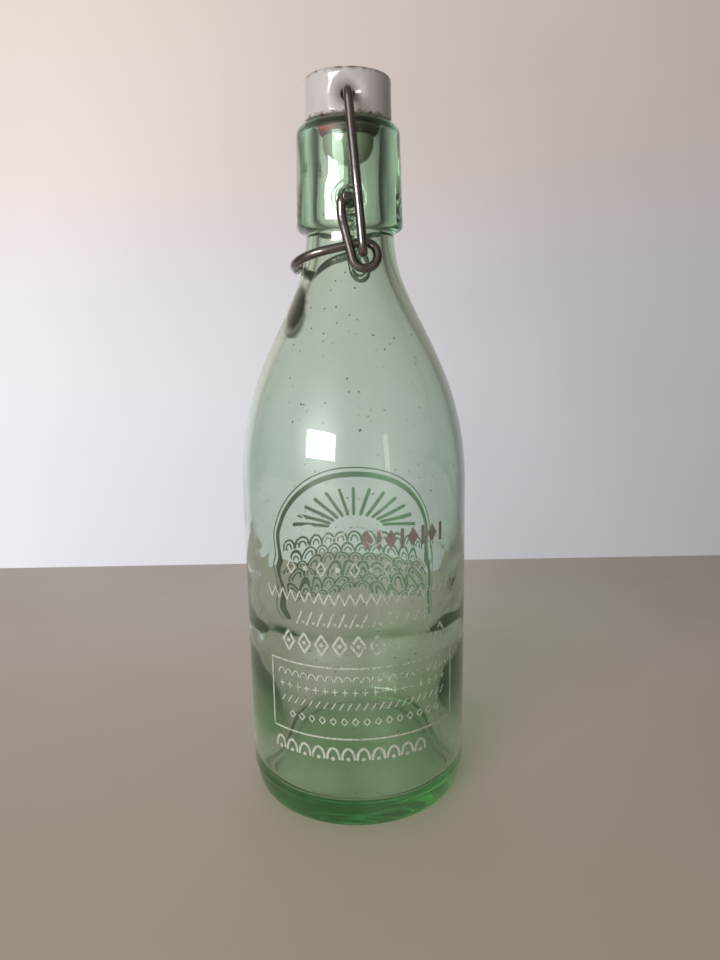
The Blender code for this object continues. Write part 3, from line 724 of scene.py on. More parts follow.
# %% [markdown]
# The back print shows through the bottle as a darker green. It is a plain ornament of common forms: a round
# arch of a thin line and a broad band, a fan of rays under it, and overlapping scale waves at its foot.
# It could be painted on the far wall as a mask, but it shows from both sides and in the glass's reflections,
# so it is drawn in strokes and laid round the wall as the front is.

# %% Print the back
ARCH_HALF_WIDTH, ARCH_FOOT, ARCH_SPRING, ARCH_TOP = 34.0, 44.0, 74.0, 95.2


def arch(inset):
    """The arch's line, a distance inside its outer line."""
    half, top = ARCH_HALF_WIDTH - inset, ARCH_TOP - inset
    line = [(half, ARCH_FOOT), (half, ARCH_SPRING)]
    line += arc((0.0, ARCH_SPRING), (half, top - ARCH_SPRING), 0.0, 180.0, 48)
    return line + [(-half, ARCH_FOOT)]


def print_back(sheet):
    """The green arch with its fan and scales."""
    stroke(sheet, arch(0.0), 0.5)
    stroke(sheet, arch(2.4), 1.9)
    for step in range(13):
        around = math.radians(15.0 + step * 12.5)
        near = (11.0 * math.cos(around), 73.0 + 5.5 * math.sin(around))
        far = (25.0 * math.cos(around), 73.0 + 14.5 * math.sin(around))
        stroke(sheet, [near, far], 1.25)
    for level in range(6):
        up = 68.5 - 3.9 * level
        for along in row(-29.0 + 2.6 * (level % 2), 29.0 - 2.6 * (level % 2), 5.4):
            bow(sheet, (along, up), (2.5, 3.0), 0.0, 180.0, 0.75, 10)
            bow(sheet, (along, up), (1.2, 1.5), 0.0, 180.0, 0.6, 8)


laid("enamel_back_arch", print_back, BACK, green_enamel)

# %% [markdown]
# The stopper is porcelain, pressed in a mould, dipped in white glaze and fired. Glaze draws itself round every
# edge, so nothing on it is sharp, and it pools in the dished hollow where the wire goes through.
# Cutting and bevelling would need clean edges everywhere. A fine voxel remesh after the cut, then a few rounds
# of smoothing, rounds all edges at once, as the glaze does.

# %% Press and glaze the stopper
cross_hole_height = next(joint["pos_m"][2] for joint in frame["joints"] if joint["name"] == "stopper_pivot")
cap_low, cap_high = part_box("stopper")
CAP_CROWN, CAP_GAP = 0.6 * MM, 0.6 * MM
CAP_RADIUS, CAP_TOP, CAP_FOOT = cap_high.x, cap_high.z - CAP_CROWN, LIP_TOP + CAP_GAP
CAP_TOP_ROUND, CAP_FOOT_ROUND = 1.3 * MM, 0.7 * MM
PLUG_RADIUS, PLUG_FOOT, PLUG_ROUND = BORE_RADIUS - 1.6 * MM, cap_low.z, 6.0 * MM
PLUG_SHOULDER, STEM_RADIUS = CAP_FOOT - 4.4 * MM, PLUG_RADIUS - 1.0 * MM
HOLE_RADIUS = 1.75 * MM
DISH_REACH, DISH_FLAT, DISH_DEPTH = 5.6 * MM, 0.2, 1.5 * MM
GLAZE_VOXEL, GLAZE_ROUNDS = 0.22 * MM, 8
CAP_WAVE, CAP_WAVE_SIZE = 0.12 * MM, 5.0 * MM


def stopper_section():
    """From the crown down the outside to the plug's foot."""
    top = (CAP_RADIUS - CAP_TOP_ROUND, CAP_TOP - CAP_TOP_ROUND)
    foot = (CAP_RADIUS - CAP_FOOT_ROUND, CAP_FOOT + CAP_FOOT_ROUND)
    points = straight((0.0, CAP_TOP + CAP_CROWN), (top[0], CAP_TOP), MM)
    points += arc(top, (CAP_TOP_ROUND, CAP_TOP_ROUND), 90.0, 0.0, 6)[1:]
    points += straight((CAP_RADIUS, top[1]), (CAP_RADIUS, foot[1]), FINE_STEP)[1:]
    points += arc(foot, (CAP_FOOT_ROUND, CAP_FOOT_ROUND), 0.0, -90.0, 4)[1:]
    points += [(STEM_RADIUS, CAP_FOOT), (STEM_RADIUS, PLUG_SHOULDER), (PLUG_RADIUS, PLUG_SHOULDER)]
    points += arc((PLUG_RADIUS - PLUG_ROUND, PLUG_FOOT + PLUG_ROUND), (PLUG_ROUND,) * 2, 0.0, -90.0, 10)
    return points + [(0.0, PLUG_FOOT)]


def stopper_point(radius, height, around):
    """Where a point of the stopper lies, with the two dished hollows and a hand-pressed wobble."""
    place = Vector((radius * math.cos(around), radius * math.sin(around), height))
    if radius > CAP_RADIUS - CAP_TOP_ROUND and height > CAP_FOOT:
        beside = math.hypot(place.x, height - cross_hole_height)
        dish = DISH_DEPTH * (1.0 - ease(beside, DISH_FLAT * DISH_REACH, DISH_REACH))
        place.y -= math.copysign(dish, place.y)
    push = CAP_WAVE * noise.noise(place / CAP_WAVE_SIZE)
    return place * (1.0 + push / CAP_RADIUS) - Vector((0.0, 0.0, place.z * push / CAP_RADIUS))


def bored(made, radius, height):
    """Bore a round hole along Y right through, and return the drill."""
    work = bmesh.new()
    across = Matrix.Translation((0.0, 0.0, height)) @ Matrix.Rotation(math.pi / 2, 4, "X")
    size = {"segments": 48, "radius1": radius, "radius2": radius, "depth": 4 * CAP_RADIUS}
    bmesh.ops.create_cone(work, cap_ends=True, matrix=across, **size)
    drill = put("bore", work)
    step = made.modifiers.new("bore", "BOOLEAN")
    step.object = drill
    step.solver = "EXACT"
    return drill


def settled(made):
    """Replace an object's mesh by what its modifiers make."""
    bpy.context.view_layer.update()
    graph = bpy.context.evaluated_depsgraph_get()
    mesh = bpy.data.meshes.new_from_object(made.evaluated_get(graph), depsgraph=graph)
    made.modifiers.clear()
    made.data = mesh
    mesh.shade_smooth()


stopper_rows = [(radius, height, stopper_point) for radius, height in stopper_section()]
stopper = turned("stopper_porcelain", stopper_rows, columns(160))
drill = bored(stopper, HOLE_RADIUS, cross_hole_height)
remesh = stopper.modifiers.new("even faces", "REMESH")
remesh.mode = "VOXEL"
remesh.voxel_size = GLAZE_VOXEL
glaze = stopper.modifiers.new("glaze drawn round the edges", "SMOOTH")
glaze.factor = 0.5
glaze.iterations = GLAZE_ROUNDS
settled(stopper)
bpy.data.objects.remove(drill, do_unlink=True)
print("stopper mesh has", len(stopper.data.polygons), "faces")

# %% [markdown]
# White glaze over white clay gives a bright body under a clear, wet-looking skin with sharp small highlights.
# Its age shows as brown dirt held by the rough rim on top, a grey rust wash where the wire rubs, and grime at
# its foot, where nobody could wipe it. The plug below is darkened as painted shade. One noise could mottle the
# whole cap, but then it looks marbled, so each kind of dirt has its own place, and the noise only breaks up its
# edge.

# %% Colour the porcelain
GLAZE_IOR = 1.52
CLOUD_SIZE, STAIN_SIZE = 5 * MM, 1.6 * MM
RIM_DIRT_START, RIM_DIRT_FULL = CAP_TOP - 1.7 * MM, CAP_TOP - 0.2 * MM
RIM_INNER, RIM_OUTER, RIM_DIRT_INSIDE = CAP_RADIUS - 4 * MM, CAP_RADIUS - MM, 0.12
FOOT_DIRT_TOP, PLUG_SHADE_FULL = CAP_FOOT + 1.2 * MM, CAP_FOOT - 2 * MM
RUST_REACH, RUST_FULL = 4.2 * MM, 1.6 * MM
PEEL_SIZE, PEEL_DEPTH = 1.1 * MM, 0.05 * MM


def glazed_porcelain():
    """White glazed porcelain with stains on its rim, round its hole and at its foot, and painted shade on the
    plug.
    """
    material, add = blank("glazed_porcelain")
    place = add("TexCoord")["Object"]
    aside, _, height = add("SeparateXYZ", [place])
    cloud = add("TexNoise", {"Vector": place, "Scale": 1 / CLOUD_SIZE, "Detail": 3.0})["Fac"]
    spots = {"Vector": place, "Scale": 1 / STAIN_SIZE, "Detail": 6.0, "Roughness": 0.65}
    speckle = add("TexNoise", spots)["Fac"]

    # Dirt on the rim, at the top of the side and on the outer part of the top.
    rim = add("MapRange", [height, RIM_DIRT_START, RIM_DIRT_FULL], **EASED)[0]
    flat = add("VectorMath", [place, (1.0, 1.0, 0.0)], **TIMES)[0]
    radius = add("VectorMath", [flat], **LENGTH)["Value"]
    outer = add("MapRange", [radius, RIM_INNER, RIM_OUTER, RIM_DIRT_INSIDE, 1.0], **EASED)[0]
    rim = add("Math", [rim, outer], **TIMES)[0]
    broken = add("MapRange", [speckle, 0.40, 0.58], **EASED)[0]
    rim_dirt = add("Math", [rim, broken], **TIMES)[0]

    # Grime at the foot, and painted shade on all that is below it.
    foot = add("MapRange", [height, FOOT_DIRT_TOP, CAP_FOOT], **EASED)[0]
    broken = add("MapRange", [speckle, 0.5, 0.6], **EASED)[0]
    foot_dirt = add("Math", [foot, broken], **TIMES)[0]
    plug_painted_shade = add("MapRange", [height, CAP_FOOT, PLUG_SHADE_FULL], **EASED)[0]
    above = add("Math", [1.0, plug_painted_shade], **MINUS)[0]
    foot_dirt = add("Math", [foot_dirt, above], **TIMES)[0]

    # Rust round the hole, on both sides of the cap.
    sideways = add("CombineXYZ", {"X": aside, "Z": height})[0]
    beside = add("VectorMath", [sideways, (0.0, 0.0, cross_hole_height)], **APART)["Value"]
    rust = add("MapRange", [beside, RUST_REACH, RUST_FULL, 0.0, 0.75], **EASED)[0]

    # The body, then painted shade on the plug, rust, rim dirt and foot grime laid over it in turn.
    body = add("Mix", {0: cloud, 6: "#dcd8da", 7: "#cfcacb"}, **TINTED)[2]
    for share, shade in ((plug_painted_shade, "#a3a496"), (rust, "#7f7571"), (rim_dirt, "#7d5f48"), (foot_dirt, "#6a5746")):
        body = add("Mix", {0: share, 6: body, 7: shade}, **TINTED)[2]
    dark_mark = add("Math", [rim_dirt, foot_dirt], **LARGER)[0]
    rough = add("MapRange", [dark_mark, 0.0, 1.0, 0.11, 0.7], **EASED)[0]
    peel = add("TexNoise", {"Vector": place, "Scale": 1 / PEEL_SIZE, "Detail": 1.0})["Fac"]
    skin = add("Bump", {"Height": peel, "Strength": 0.06, "Distance": PEEL_DEPTH})[0]
    shader = {"Base Color": body, "Roughness": rough, "IOR": GLAZE_IOR, "Normal": skin}
    add("OutputMaterial", {"Surface": add("BsdfPrincipled", shader)[0]})
    return material


stopper.data.materials.append(glazed_porcelain())
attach(stopper, "stopper_head")
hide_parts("stopper")
print("dirt on the rim starts", round((cap_high.z - RIM_DIRT_START) / MM, 1), "mm below the top")

# %% [markdown]
# The washer is red rubber, moulded as a ring and stretched over the plug. Iron oxide in it gives its colour.
# Squeezed in the mouth for years it bulged and hardened, so a plain torus would look too new. It is a turned
# ring with rounded lips and a slow wobble, and its surface is dull with fine cracks. Red shows only at its
# left side. The rest is painted dark as painted shade, for the side that the window's light doesn't reach.

# %% Stretch the washer on
washer_low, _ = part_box("sealing_washer")
WASHER_ROUND, WASHER_WAIST = 0.7 * MM, 0.05 * MM
WASHER_SQUEEZE, WASHER_LIFT, WASHER_TALL = 0.3 * MM, 1.1 * MM, 2.0 * MM
WASHER_INNER = STEM_RADIUS + 0.25 * MM
WASHER_WAVE, WASHER_WAVE_SIZE = 0.10 * MM, 4.0 * MM


def washer_section():
    """The ring's closed section, a little narrower at its foot, where the bore squeezes it."""
    low = washer_low.z + WASHER_LIFT
    high = washer_low.z + WASHER_LIFT + WASHER_TALL
    outer_low, outer_high = BORE_RADIUS - WASHER_SQUEEZE, BORE_RADIUS
    points = [(WASHER_INNER, low), (WASHER_INNER, high)]
    points += arc((outer_high - WASHER_ROUND, high - WASHER_ROUND), (WASHER_ROUND,) * 2, 90.0, 10.0, 6)
    points += [(outer_low + WASHER_WAIST, (high + low) / 2)]
    return points + arc((outer_low - WASHER_ROUND, low + WASHER_ROUND), (WASHER_ROUND,) * 2, -10.0, -90.0, 6)


def washer_point(radius, height, around):
    """A point of the washer, a little off round."""
    place = Vector((radius * math.cos(around), radius * math.sin(around), height))
    push = WASHER_WAVE * noise.noise(place / WASHER_WAVE_SIZE)
    return place - Vector((math.cos(around), math.sin(around), 0.0)) * abs(push)


washer_rows = [(radius, height, washer_point) for radius, height in washer_section()]
washer = turned("washer_rubber", washer_rows, columns(96), ring=True)
print("washer is", round(WASHER_TALL / MM, 1), "mm tall and", round(2 * BORE_RADIUS / MM, 1), "mm across")

# %% Redden and age the rubber
RUBBER_IOR = 1.52
BLOOM_SIZE, CRACK_CELL, CRACK_DEPTH = 2.2 * MM, 1.3 * MM, 0.08 * MM
# Where the red gives way to painted shade, toward the right.
RED_END, DARK_START = -5 * MM, -2 * MM


def aged_red_rubber():
    """Dull red rubber, darker and cracked where it hardened, and painted dark to the right as painted shade."""
    material, add = blank("aged_moulded_red_rubber")
    place = add("TexCoord")["Object"]
    bloom = add("TexNoise", {"Vector": place, "Scale": 1 / BLOOM_SIZE, "Detail": 5.0})["Fac"]
    bloom = add("MapRange", [bloom, 0.35, 0.7], **EASED)[0]
    cells = {"Vector": place, "Scale": 1 / CRACK_CELL}
    crack = add("TexVoronoi", cells, feature="DISTANCE_TO_EDGE")["Distance"]
    crack = add("MapRange", [crack, 0.06, 0.0], **EASED)[0]
    aside = add("SeparateXYZ", [place])["X"]
    # Painted shade: darker toward the right, away from the window.
    washer_painted_shade = add("MapRange", [aside, RED_END, DARK_START], **EASED)[0]
    colour = add("Mix", {0: bloom, 6: "#d23a24", 7: "#a83322"}, **TINTED)[2]
    for share, shade in ((crack, "#43201a"), (washer_painted_shade, "#44372c")):
        colour = add("Mix", {0: share, 6: colour, 7: shade}, **TINTED)[2]
    skin = add("Bump", {"Height": crack, "Strength": 0.5, "Distance": CRACK_DEPTH}, invert=True)[0]
    shader = {"Base Color": colour, "Roughness": 0.68, "IOR": RUBBER_IOR, "Normal": skin}
    add("OutputMaterial", {"Surface": add("BsdfPrincipled", shader)[0]})
    return material


washer.data.materials.append(aged_red_rubber())
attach(washer, "stopper_head")
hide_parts("sealing_washer")
print("cracks in the rubber lie about", round(CRACK_CELL / MM, 1), "mm apart")

# %% [markdown]
# Both wires are hard-drawn steel, two and a half millimetres thick, bent on a jig. The lever starts in the
# collar's sockets, runs down each side, bends round into an eye and goes on round the neck as the handle.
# The bail hooks into the eyes, rises outside the lever and goes through the stopper.
# Each route is written as corners with their bend radii, for the near half only, and mirrored.
# A curve with a bevel would do, but a tube of our own also gets chamfered ends and a map along its length,
# which the drawn streaks of the steel then follow.

# %% Name the wires' sizes
joints = {joint["name"]: Vector(joint["pos_m"]) for joint in frame["joints"]}
WIRE_RADIUS = 1.25 * MM
LAYER_STEP = 2 * WIRE_RADIUS + 0.3 * MM
LEG_LAYER = COLLAR_FOOT_RADIUS + 1.0 * MM + WIRE_RADIUS
INNER_LAYER, OUTER_LAYER = LEG_LAYER - LAYER_STEP, LEG_LAYER + LAYER_STEP
SOCKET_PLAY, NECK_PLAY = 0.4 * MM, 0.3 * MM
EYE_RADIUS, EYE_SIDE, EYE_DROP = 3.5 * MM, 3.95 * MM, 15.15 * MM
EYE_TOP = EYE_RADIUS - EYE_DROP
EYE_START, EYE_END = 194.0, 450.0
LEG_BOW, LEG_STRAIGHT = 2.2 * MM, 5.0 * MM
LEG_BENDS = (1.9 * MM, 1.9 * MM, 10.0 * MM)
HANDLE_FALLS = (0.5 * MM, 3.8 * MM, 5.6 * MM)
HANDLE_FIRST_BEND, HANDLE_LAST_BEND, HANDLE_FLAT, HANDLE_SPARE = 6.0 * MM, 3.0 * MM, 3.5 * MM, 1.5 * MM
BAIL_BOW_RISE, BAIL_GAP, BAIL_CORNER = 3.0 * MM, 2.6 * MM, 1.5 * MM
BAIL_BENDS = (2.2 * MM, 40.0 * MM, 3.0 * MM)
BEND_STEPS, EYE_STEPS, ROUTE_STEP = 12, 54, 0.7 * MM
layers = (INNER_LAYER, LEG_LAYER, OUTER_LAYER)
print("the three layers of wire lie", [round(layer / MM, 1) for layer in layers], "mm from the middle plane")

# %% Bend the two routes


def rounded(corners, bends):
    """Round the inner corners of a route, each with its own bend radius."""
    route = [Vector(corners[0])]
    for index, bend in enumerate(bends, start=1):
        corner = Vector(corners[index])
        back = (Vector(corners[index - 1]) - corner).normalized()
        ahead = (Vector(corners[index + 1]) - corner).normalized()
        half = back.angle(ahead) / 2
        centre = corner + (back + ahead).normalized() * (bend / math.sin(half))
        first = (corner + back * (bend / math.tan(half)) - centre).normalized()
        last = (corner + ahead * (bend / math.tan(half)) - centre).normalized()
        route += [centre + first.slerp(last, step / BEND_STEPS) * bend for step in range(BEND_STEPS + 1)]
    return route + [Vector(corners[-1])]


def eye_turn():
    """Nearly three quarters of a turn, from the eye's left round below to its top. It steps in by one layer
    between a quarter and seven eighths of the way."""
    route = []
    for step in range(EYE_STEPS + 1):
        turned_share = step / EYE_STEPS
        around = math.radians(EYE_START + (EYE_END - EYE_START) * turned_share)
        inward_share = max(0.0, min(1.0, 1.6 * turned_share - 0.4))
        layer = LEG_LAYER + (INNER_LAYER - LEG_LAYER) * inward_share
        side, height = EYE_SIDE + EYE_RADIUS * math.cos(around), -EYE_DROP + EYE_RADIUS * math.sin(around)
        route.append(Vector((side, -layer, height)))
    return route


def lever_route():
    """The lever's near half, from its end in the socket to the middle of the handle."""
    eye = eye_turn()
    leg = [
        (0.0, -(COLLAR_FOOT_RADIUS - SOCKET_DEPTH + SOCKET_PLAY), 0.0),
        (0.0, -COLLAR_FOOT_RADIUS, 0.0),
        (-LEG_BOW, -LEG_LAYER, 0.0),
        (-LEG_BOW, -LEG_LAYER, -LEG_STRAIGHT),
        tuple(eye[0]),
    ]
    front_fall, side_fall, end_fall = HANDLE_FALLS
    end_height = EYE_TOP - end_fall
    reach = outside_radius(joints["lever_pivot"].z + end_height - WIRE_RADIUS) + WIRE_RADIUS + NECK_PLAY
    handle = [
        (EYE_SIDE, -INNER_LAYER, EYE_TOP),
        (0.0, -INNER_LAYER, EYE_TOP - front_fall),
        (-reach, -INNER_LAYER, EYE_TOP - side_fall),
        (-reach, -HANDLE_FLAT, end_height),
        (-reach, 0.0, end_height),
    ]
    side_bend = INNER_LAYER - HANDLE_FLAT - HANDLE_SPARE
    first = rounded(leg, LEG_BENDS)
    second = rounded(handle, [HANDLE_FIRST_BEND, side_bend, HANDLE_LAST_BEND])
    return first[:-1] + eye + second[1:]


def bail_route():
    """The bail's near half, from the hook's end to the middle of the hole in the stopper."""
    hook, cross = joints["bail_pivot"], joints["stopper_pivot"]
    rise = cross.z - hook.z
    bow_rise = joints["lever_pivot"].z - hook.z + BAIL_BOW_RISE
    top_layer = CAP_RADIUS + BAIL_GAP + BAIL_CORNER
    corners = [
        (0.0, -INNER_LAYER, 0.0),
        (0.0, -OUTER_LAYER, 0.0),
        (-hook.x / rise * bow_rise, -OUTER_LAYER, bow_rise),
        (-hook.x, -top_layer, rise),
        (-hook.x, 0.0, rise),
    ]
    return rounded(corners, BAIL_BENDS)


def whole(half, origin):
    """Mirror a near half, put it at its joint and fill it with even steps."""
    ahead = [point + origin for point in half]
    corners = ahead + [Vector((point.x, -point.y, point.z)) for point in reversed(ahead[:-1])]
    route = [corners[0]]
    for start, end in zip(corners, corners[1:]):
        route += [Vector(spot) for spot in straight(start, end, ROUTE_STEP)[1:]]
    return route


lever_half, bail_half = lever_route(), bail_route()
print("the near halves have", len(lever_half), "and", len(bail_half), "points")

# %% Draw the wire along a route
WIRE_SIDES = 28
WIRE_GIRTH = math.tau * WIRE_RADIUS
CHAMFER = ((0.0, 0.72), (0.16 * MM, 0.9), (0.4 * MM, 1.0))
WIRE_WAVE, WIRE_WAVE_SIZE = 0.05 * MM, 9.0 * MM
SHARP_FROM = math.radians(50)


def tube(name, route):
    """Sweep a round section along a route without twist, with chamfered ends and a map along the wire."""
    start, end = (route[1] - route[0]).normalized(), (route[-1] - route[-2]).normalized()
    head = [(route[0] + start * back, share) for back, share in CHAMFER]
    tail = [(route[-1] - end * back, share) for back, share in reversed(CHAMFER)]
    spine = head + [(point, 1.0) for point in route[1:-1]] + tail
    work = bmesh.new()
    layer = work.loops.layers.uv.new("along")
    side = start.orthogonal()
    loops, lengths, length = [], [], 0.0
    for index, (point, share) in enumerate(spine):
        before, after = spine[max(0, index - 1)][0], spine[min(len(spine) - 1, index + 1)][0]
        ahead = (after - before).normalized()
        side = (side - ahead * side.dot(ahead)).normalized()
        up = ahead.cross(side)
        length += (point - spine[index - 1][0]).length if index else 0.0
        lengths.append(length)
        middle = point + side * WIRE_WAVE * noise.noise(point / WIRE_WAVE_SIZE)
        ring = []
        for step in range(WIRE_SIDES):
            around = math.tau * step / WIRE_SIDES
            out = side * math.cos(around) + up * math.sin(around)
            ring.append(work.verts.new(middle + out * WIRE_RADIUS * share))
        loops.append(ring)
    for index, (first, second) in enumerate(zip(loops, loops[1:])):
        for step in range(WIRE_SIDES):
            ahead_step = (step + 1) % WIRE_SIDES
            face = work.faces.new((first[step], first[ahead_step], second[ahead_step], second[step]))
            places = ((step, index), (step + 1, index), (step + 1, index + 1), (step, index + 1))
            for corner, (around_step, ring_index) in zip(face.loops, places):
                corner[layer].uv = (around_step / WIRE_SIDES, lengths[ring_index] / WIRE_GIRTH)
    work.faces.new(reversed(loops[0]))
    work.faces.new(loops[-1])
    bmesh.ops.recalc_face_normals(work, faces=work.faces)
    made = put(name, work)
    made.data.set_sharp_from_angle(angle=SHARP_FROM)
    print(name, "is bent from", round(length / MM), "mm of wire")
    return made


print("the wire is", round(WIRE_GIRTH / MM, 1), "mm round")

# %% [markdown]
# Hard-drawn steel leaves the die with fine streaks along its length, and a bright, blurred line of light on
# each side. Handling and damp have dulled it: brown oxide lies in small patches, mostly in its pits.
# An anisotropic shader could blur the light without any streaks, but dulled wire shows them up close.
# The streaks follow the map along the wire: 26 round it, each some 11 mm long. Real ones are finer than a
# pixel, so they are drawn about three times as coarse to show at all.

# %% Draw and dull the steel
STREAKS = (26.0, 0.7, 1.0)
OXIDE_SIZE, PIT_SIZE, RELIEF_DEPTH = 3.5 * MM, 0.6 * MM, 0.04 * MM


def drawn_steel(name, bright, dull):
    """Dulled drawn steel wire with streaks along it and thin brown oxide."""
    material, add = blank(name)
    place = add("TexCoord")["Object"]
    along = add("UVMap", uv_map="along")[0]
    stretched = add("VectorMath", [along, STREAKS], **TIMES)[0]
    streak = add("TexNoise", {"Vector": stretched, "Scale": 1.0, "Detail": 3.0})["Fac"]
    cloud = add("TexNoise", {"Vector": place, "Scale": 1 / OXIDE_SIZE, "Detail": 5.0})["Fac"]
    pits = add("TexNoise", {"Vector": place, "Scale": 1 / PIT_SIZE, "Detail": 4.0})["Fac"]
    patches = add("MapRange", [cloud, 0.5, 0.72], **EASED)[0]
    pitted = add("MapRange", [pits, 0.35, 0.6], **EASED)[0]
    oxide = add("Math", [patches, pitted], **TIMES)[0]
    streaked = add("MapRange", [streak, 0.3, 0.7], **EASED)[0]
    colour = add("Mix", {0: streaked, 6: bright, 7: dull}, **TINTED)[2]
    colour = add("Mix", {0: oxide, 6: colour, 7: "#473a33"}, **TINTED)[2]
    metal = add("MapRange", [oxide, 0.0, 1.0, 1.0, 0.55], **EASED)[0]
    rough = add("MapRange", [streak, 0.3, 0.7, 0.22, 0.32], **EASED)[0]
    rougher = add("Math", [oxide, 0.28], **TIMES)[0]
    rough = add("Math", [rough, rougher], **PLUS)[0]
    relief = add("Math", [streak, 0.4], **TIMES)[0]
    relief = add("Math", [relief, pits], **PLUS)[0]
    skin = add("Bump", {"Height": relief, "Strength": 0.25, "Distance": RELIEF_DEPTH})[0]
    shader = {"Base Color": colour, "Metallic": metal, "Roughness": rough, "Normal": skin}
    add("OutputMaterial", {"Surface": add("BsdfPrincipled", shader)[0]})
    return material


STEEL_SHADES = {"lever": ("#a19b98", "#716b69"), "bail": ("#a39d9a", "#736d6b")}
wires = (
    ("lever_steel_wire", lever_half, "lever_pivot", "lever", "lever_wire", "lever_steel"),
    ("bail_steel_wire", bail_half, "bail_pivot", "bail", "bail_wire", "bail_steel"),
)
for name, half, joint, body, cad_node, slot in wires:
    wire = tube(name, whole(half, joints[joint]))
    wire.data.materials.append(drawn_steel("drawn_" + slot, *STEEL_SHADES[body]))
    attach(wire, body)
    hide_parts(cad_node)

# %% [markdown]
# The bottle stands on a pale painted table, whose back edge shows behind it and through it. Glass has hardly
# any look of its own, so the table's edge, the wall and the darker room in front are what it is drawn with.
# A plane would do for a solid thing, but glass also shows the table's edge upside down and its front face, so
# the table is a thick slab with a rounded edge. Window light falls off along a real table. Here soft colour
# gradients in the paint stand for that: a little warmer toward the front, and dimmer to the right.

# %% Set the table
TABLE_BACK = 228.6 * MM
TABLE_FRONT, TABLE_SIDE, TABLE_THICKNESS = -1300.0 * MM, 1200.0 * MM, 28.0 * MM
TABLE_EDGE_ROUND = 3.0 * MM
PAINT_IOR = 1.5
ROLLER_CLOUD_SIZE, ROLLER_GRAIN_SIZE, ROLLER_GRAIN_DEPTH = 90 * MM, 1.8 * MM, 0.1 * MM
WARMER_FROM, WARMEST_AT, DIMMER_FROM, DIMMEST_AT = 190 * MM, -90 * MM, -50 * MM, 300 * MM


def painted_table():
    """Pale matt paint with a faint cloud and fine roller grain."""
    material, add = blank("rolled_matt_paint")
    place = add("TexCoord")["Object"]
    cloud = add("TexNoise", {"Vector": place, "Scale": 1 / ROLLER_CLOUD_SIZE, "Detail": 3.0})["Fac"]
    grain = add("TexNoise", {"Vector": place, "Scale": 1 / ROLLER_GRAIN_SIZE, "Detail": 2.0})["Fac"]
    aside, ahead, _ = add("SeparateXYZ", [place])
    cloud = add("MapRange", [cloud, 0.35, 0.65], **EASED)[0]
    warmer = add("MapRange", [ahead, WARMER_FROM, WARMEST_AT], **EASED)[0]
    dimmer = add("MapRange", [aside, DIMMER_FROM, DIMMEST_AT, 0.0, 0.6], **EASED)[0]
    colour = add("Mix", {0: cloud, 6: "#f2efea", 7: "#ece8e2"}, **TINTED)[2]
    for share, shade in ((warmer, "#e4d5c5"), (dimmer, "#8f857c")):
        colour = add("Mix", {0: share, 6: colour, 7: shade}, **TINTED)[2]
    skin = add("Bump", {"Height": grain, "Strength": 0.08, "Distance": ROLLER_GRAIN_DEPTH})[0]
    shader = {"Base Color": colour, "Roughness": 0.62, "IOR": PAINT_IOR, "Normal": skin}
    add("OutputMaterial", {"Surface": add("BsdfPrincipled", shader)[0]})
    return material


work = bmesh.new()
bmesh.ops.create_cube(work, size=1.0)
size = Vector((2 * TABLE_SIDE, TABLE_BACK - TABLE_FRONT, TABLE_THICKNESS))
middle = Vector((0.0, (TABLE_BACK + TABLE_FRONT) / 2, -TABLE_THICKNESS / 2))
bmesh.ops.transform(work, matrix=Matrix.Translation(middle) @ Matrix.Diagonal((*size, 1.0)), verts=work.verts)
bmesh.ops.bevel(work, geom=work.edges, offset=TABLE_EDGE_ROUND, segments=4, profile=0.5, affect="EDGES")
slab = bpy.data.meshes.new("table")
work.to_mesh(slab)
work.free()
slab.materials.append(painted_table())
table = bpy.data.objects.new("table", slab)
bpy.context.scene.collection.objects.link(table)
print("table's back edge is", round(TABLE_BACK / MM), "mm behind the bottle's axis")

# %% [markdown]
# The wall behind is pale, warm above and cool below, and brighter on the window's side. The ceiling and the
# room in front are dimmer. That difference draws the dark lines at the edges of the glass and the dark bodies
# of the wires, so all rays see it. A glow round the window fills what the lamp's own patch leaves hard.
# A built room would cost many surfaces, so the world's colour depends on the direction of the ray instead.
# The camera alone sees the dim sides paler and no glow, so that views from behind keep a pale ground.

# %% Paint the wall and the room
WALL_COOL_BELOW, WALL_WARM_ABOVE = -0.15, 0.35
WALL_LEFT, WALL_RIGHT, WALL_LEFT_END, WALL_RIGHT_END, WALL_LEAN = 1.13, 0.28, -0.4, 0.8, 0.25
CORNER_END, CORNER_START, CORNER_SHARE = -0.95, -0.5, 0.45
CEILING_START, CEILING_FULL, CEILING_SHARE = 0.3, 0.8, 0.6
PALEST_RIGHT, PALER_BEHIND = 0.5, 0.7
ROOM_LOW, ROOM_HIGH, ROOM_END, WALL_START = -0.1, 0.8, 0.3, 0.78
WINDOW_TURN, WINDOW_RISE, WINDOW_GLOW = math.radians(34.0), math.radians(11.5), 2.6
GLOW_REACH, GLOW_FULL = 0.7, 0.1


def toward_window():
    """The direction of the window, as the bottle sees it."""
    level = math.cos(WINDOW_RISE)
    return Vector((-math.sin(WINDOW_TURN) * level, -math.cos(WINDOW_TURN) * level, math.sin(WINDOW_RISE)))


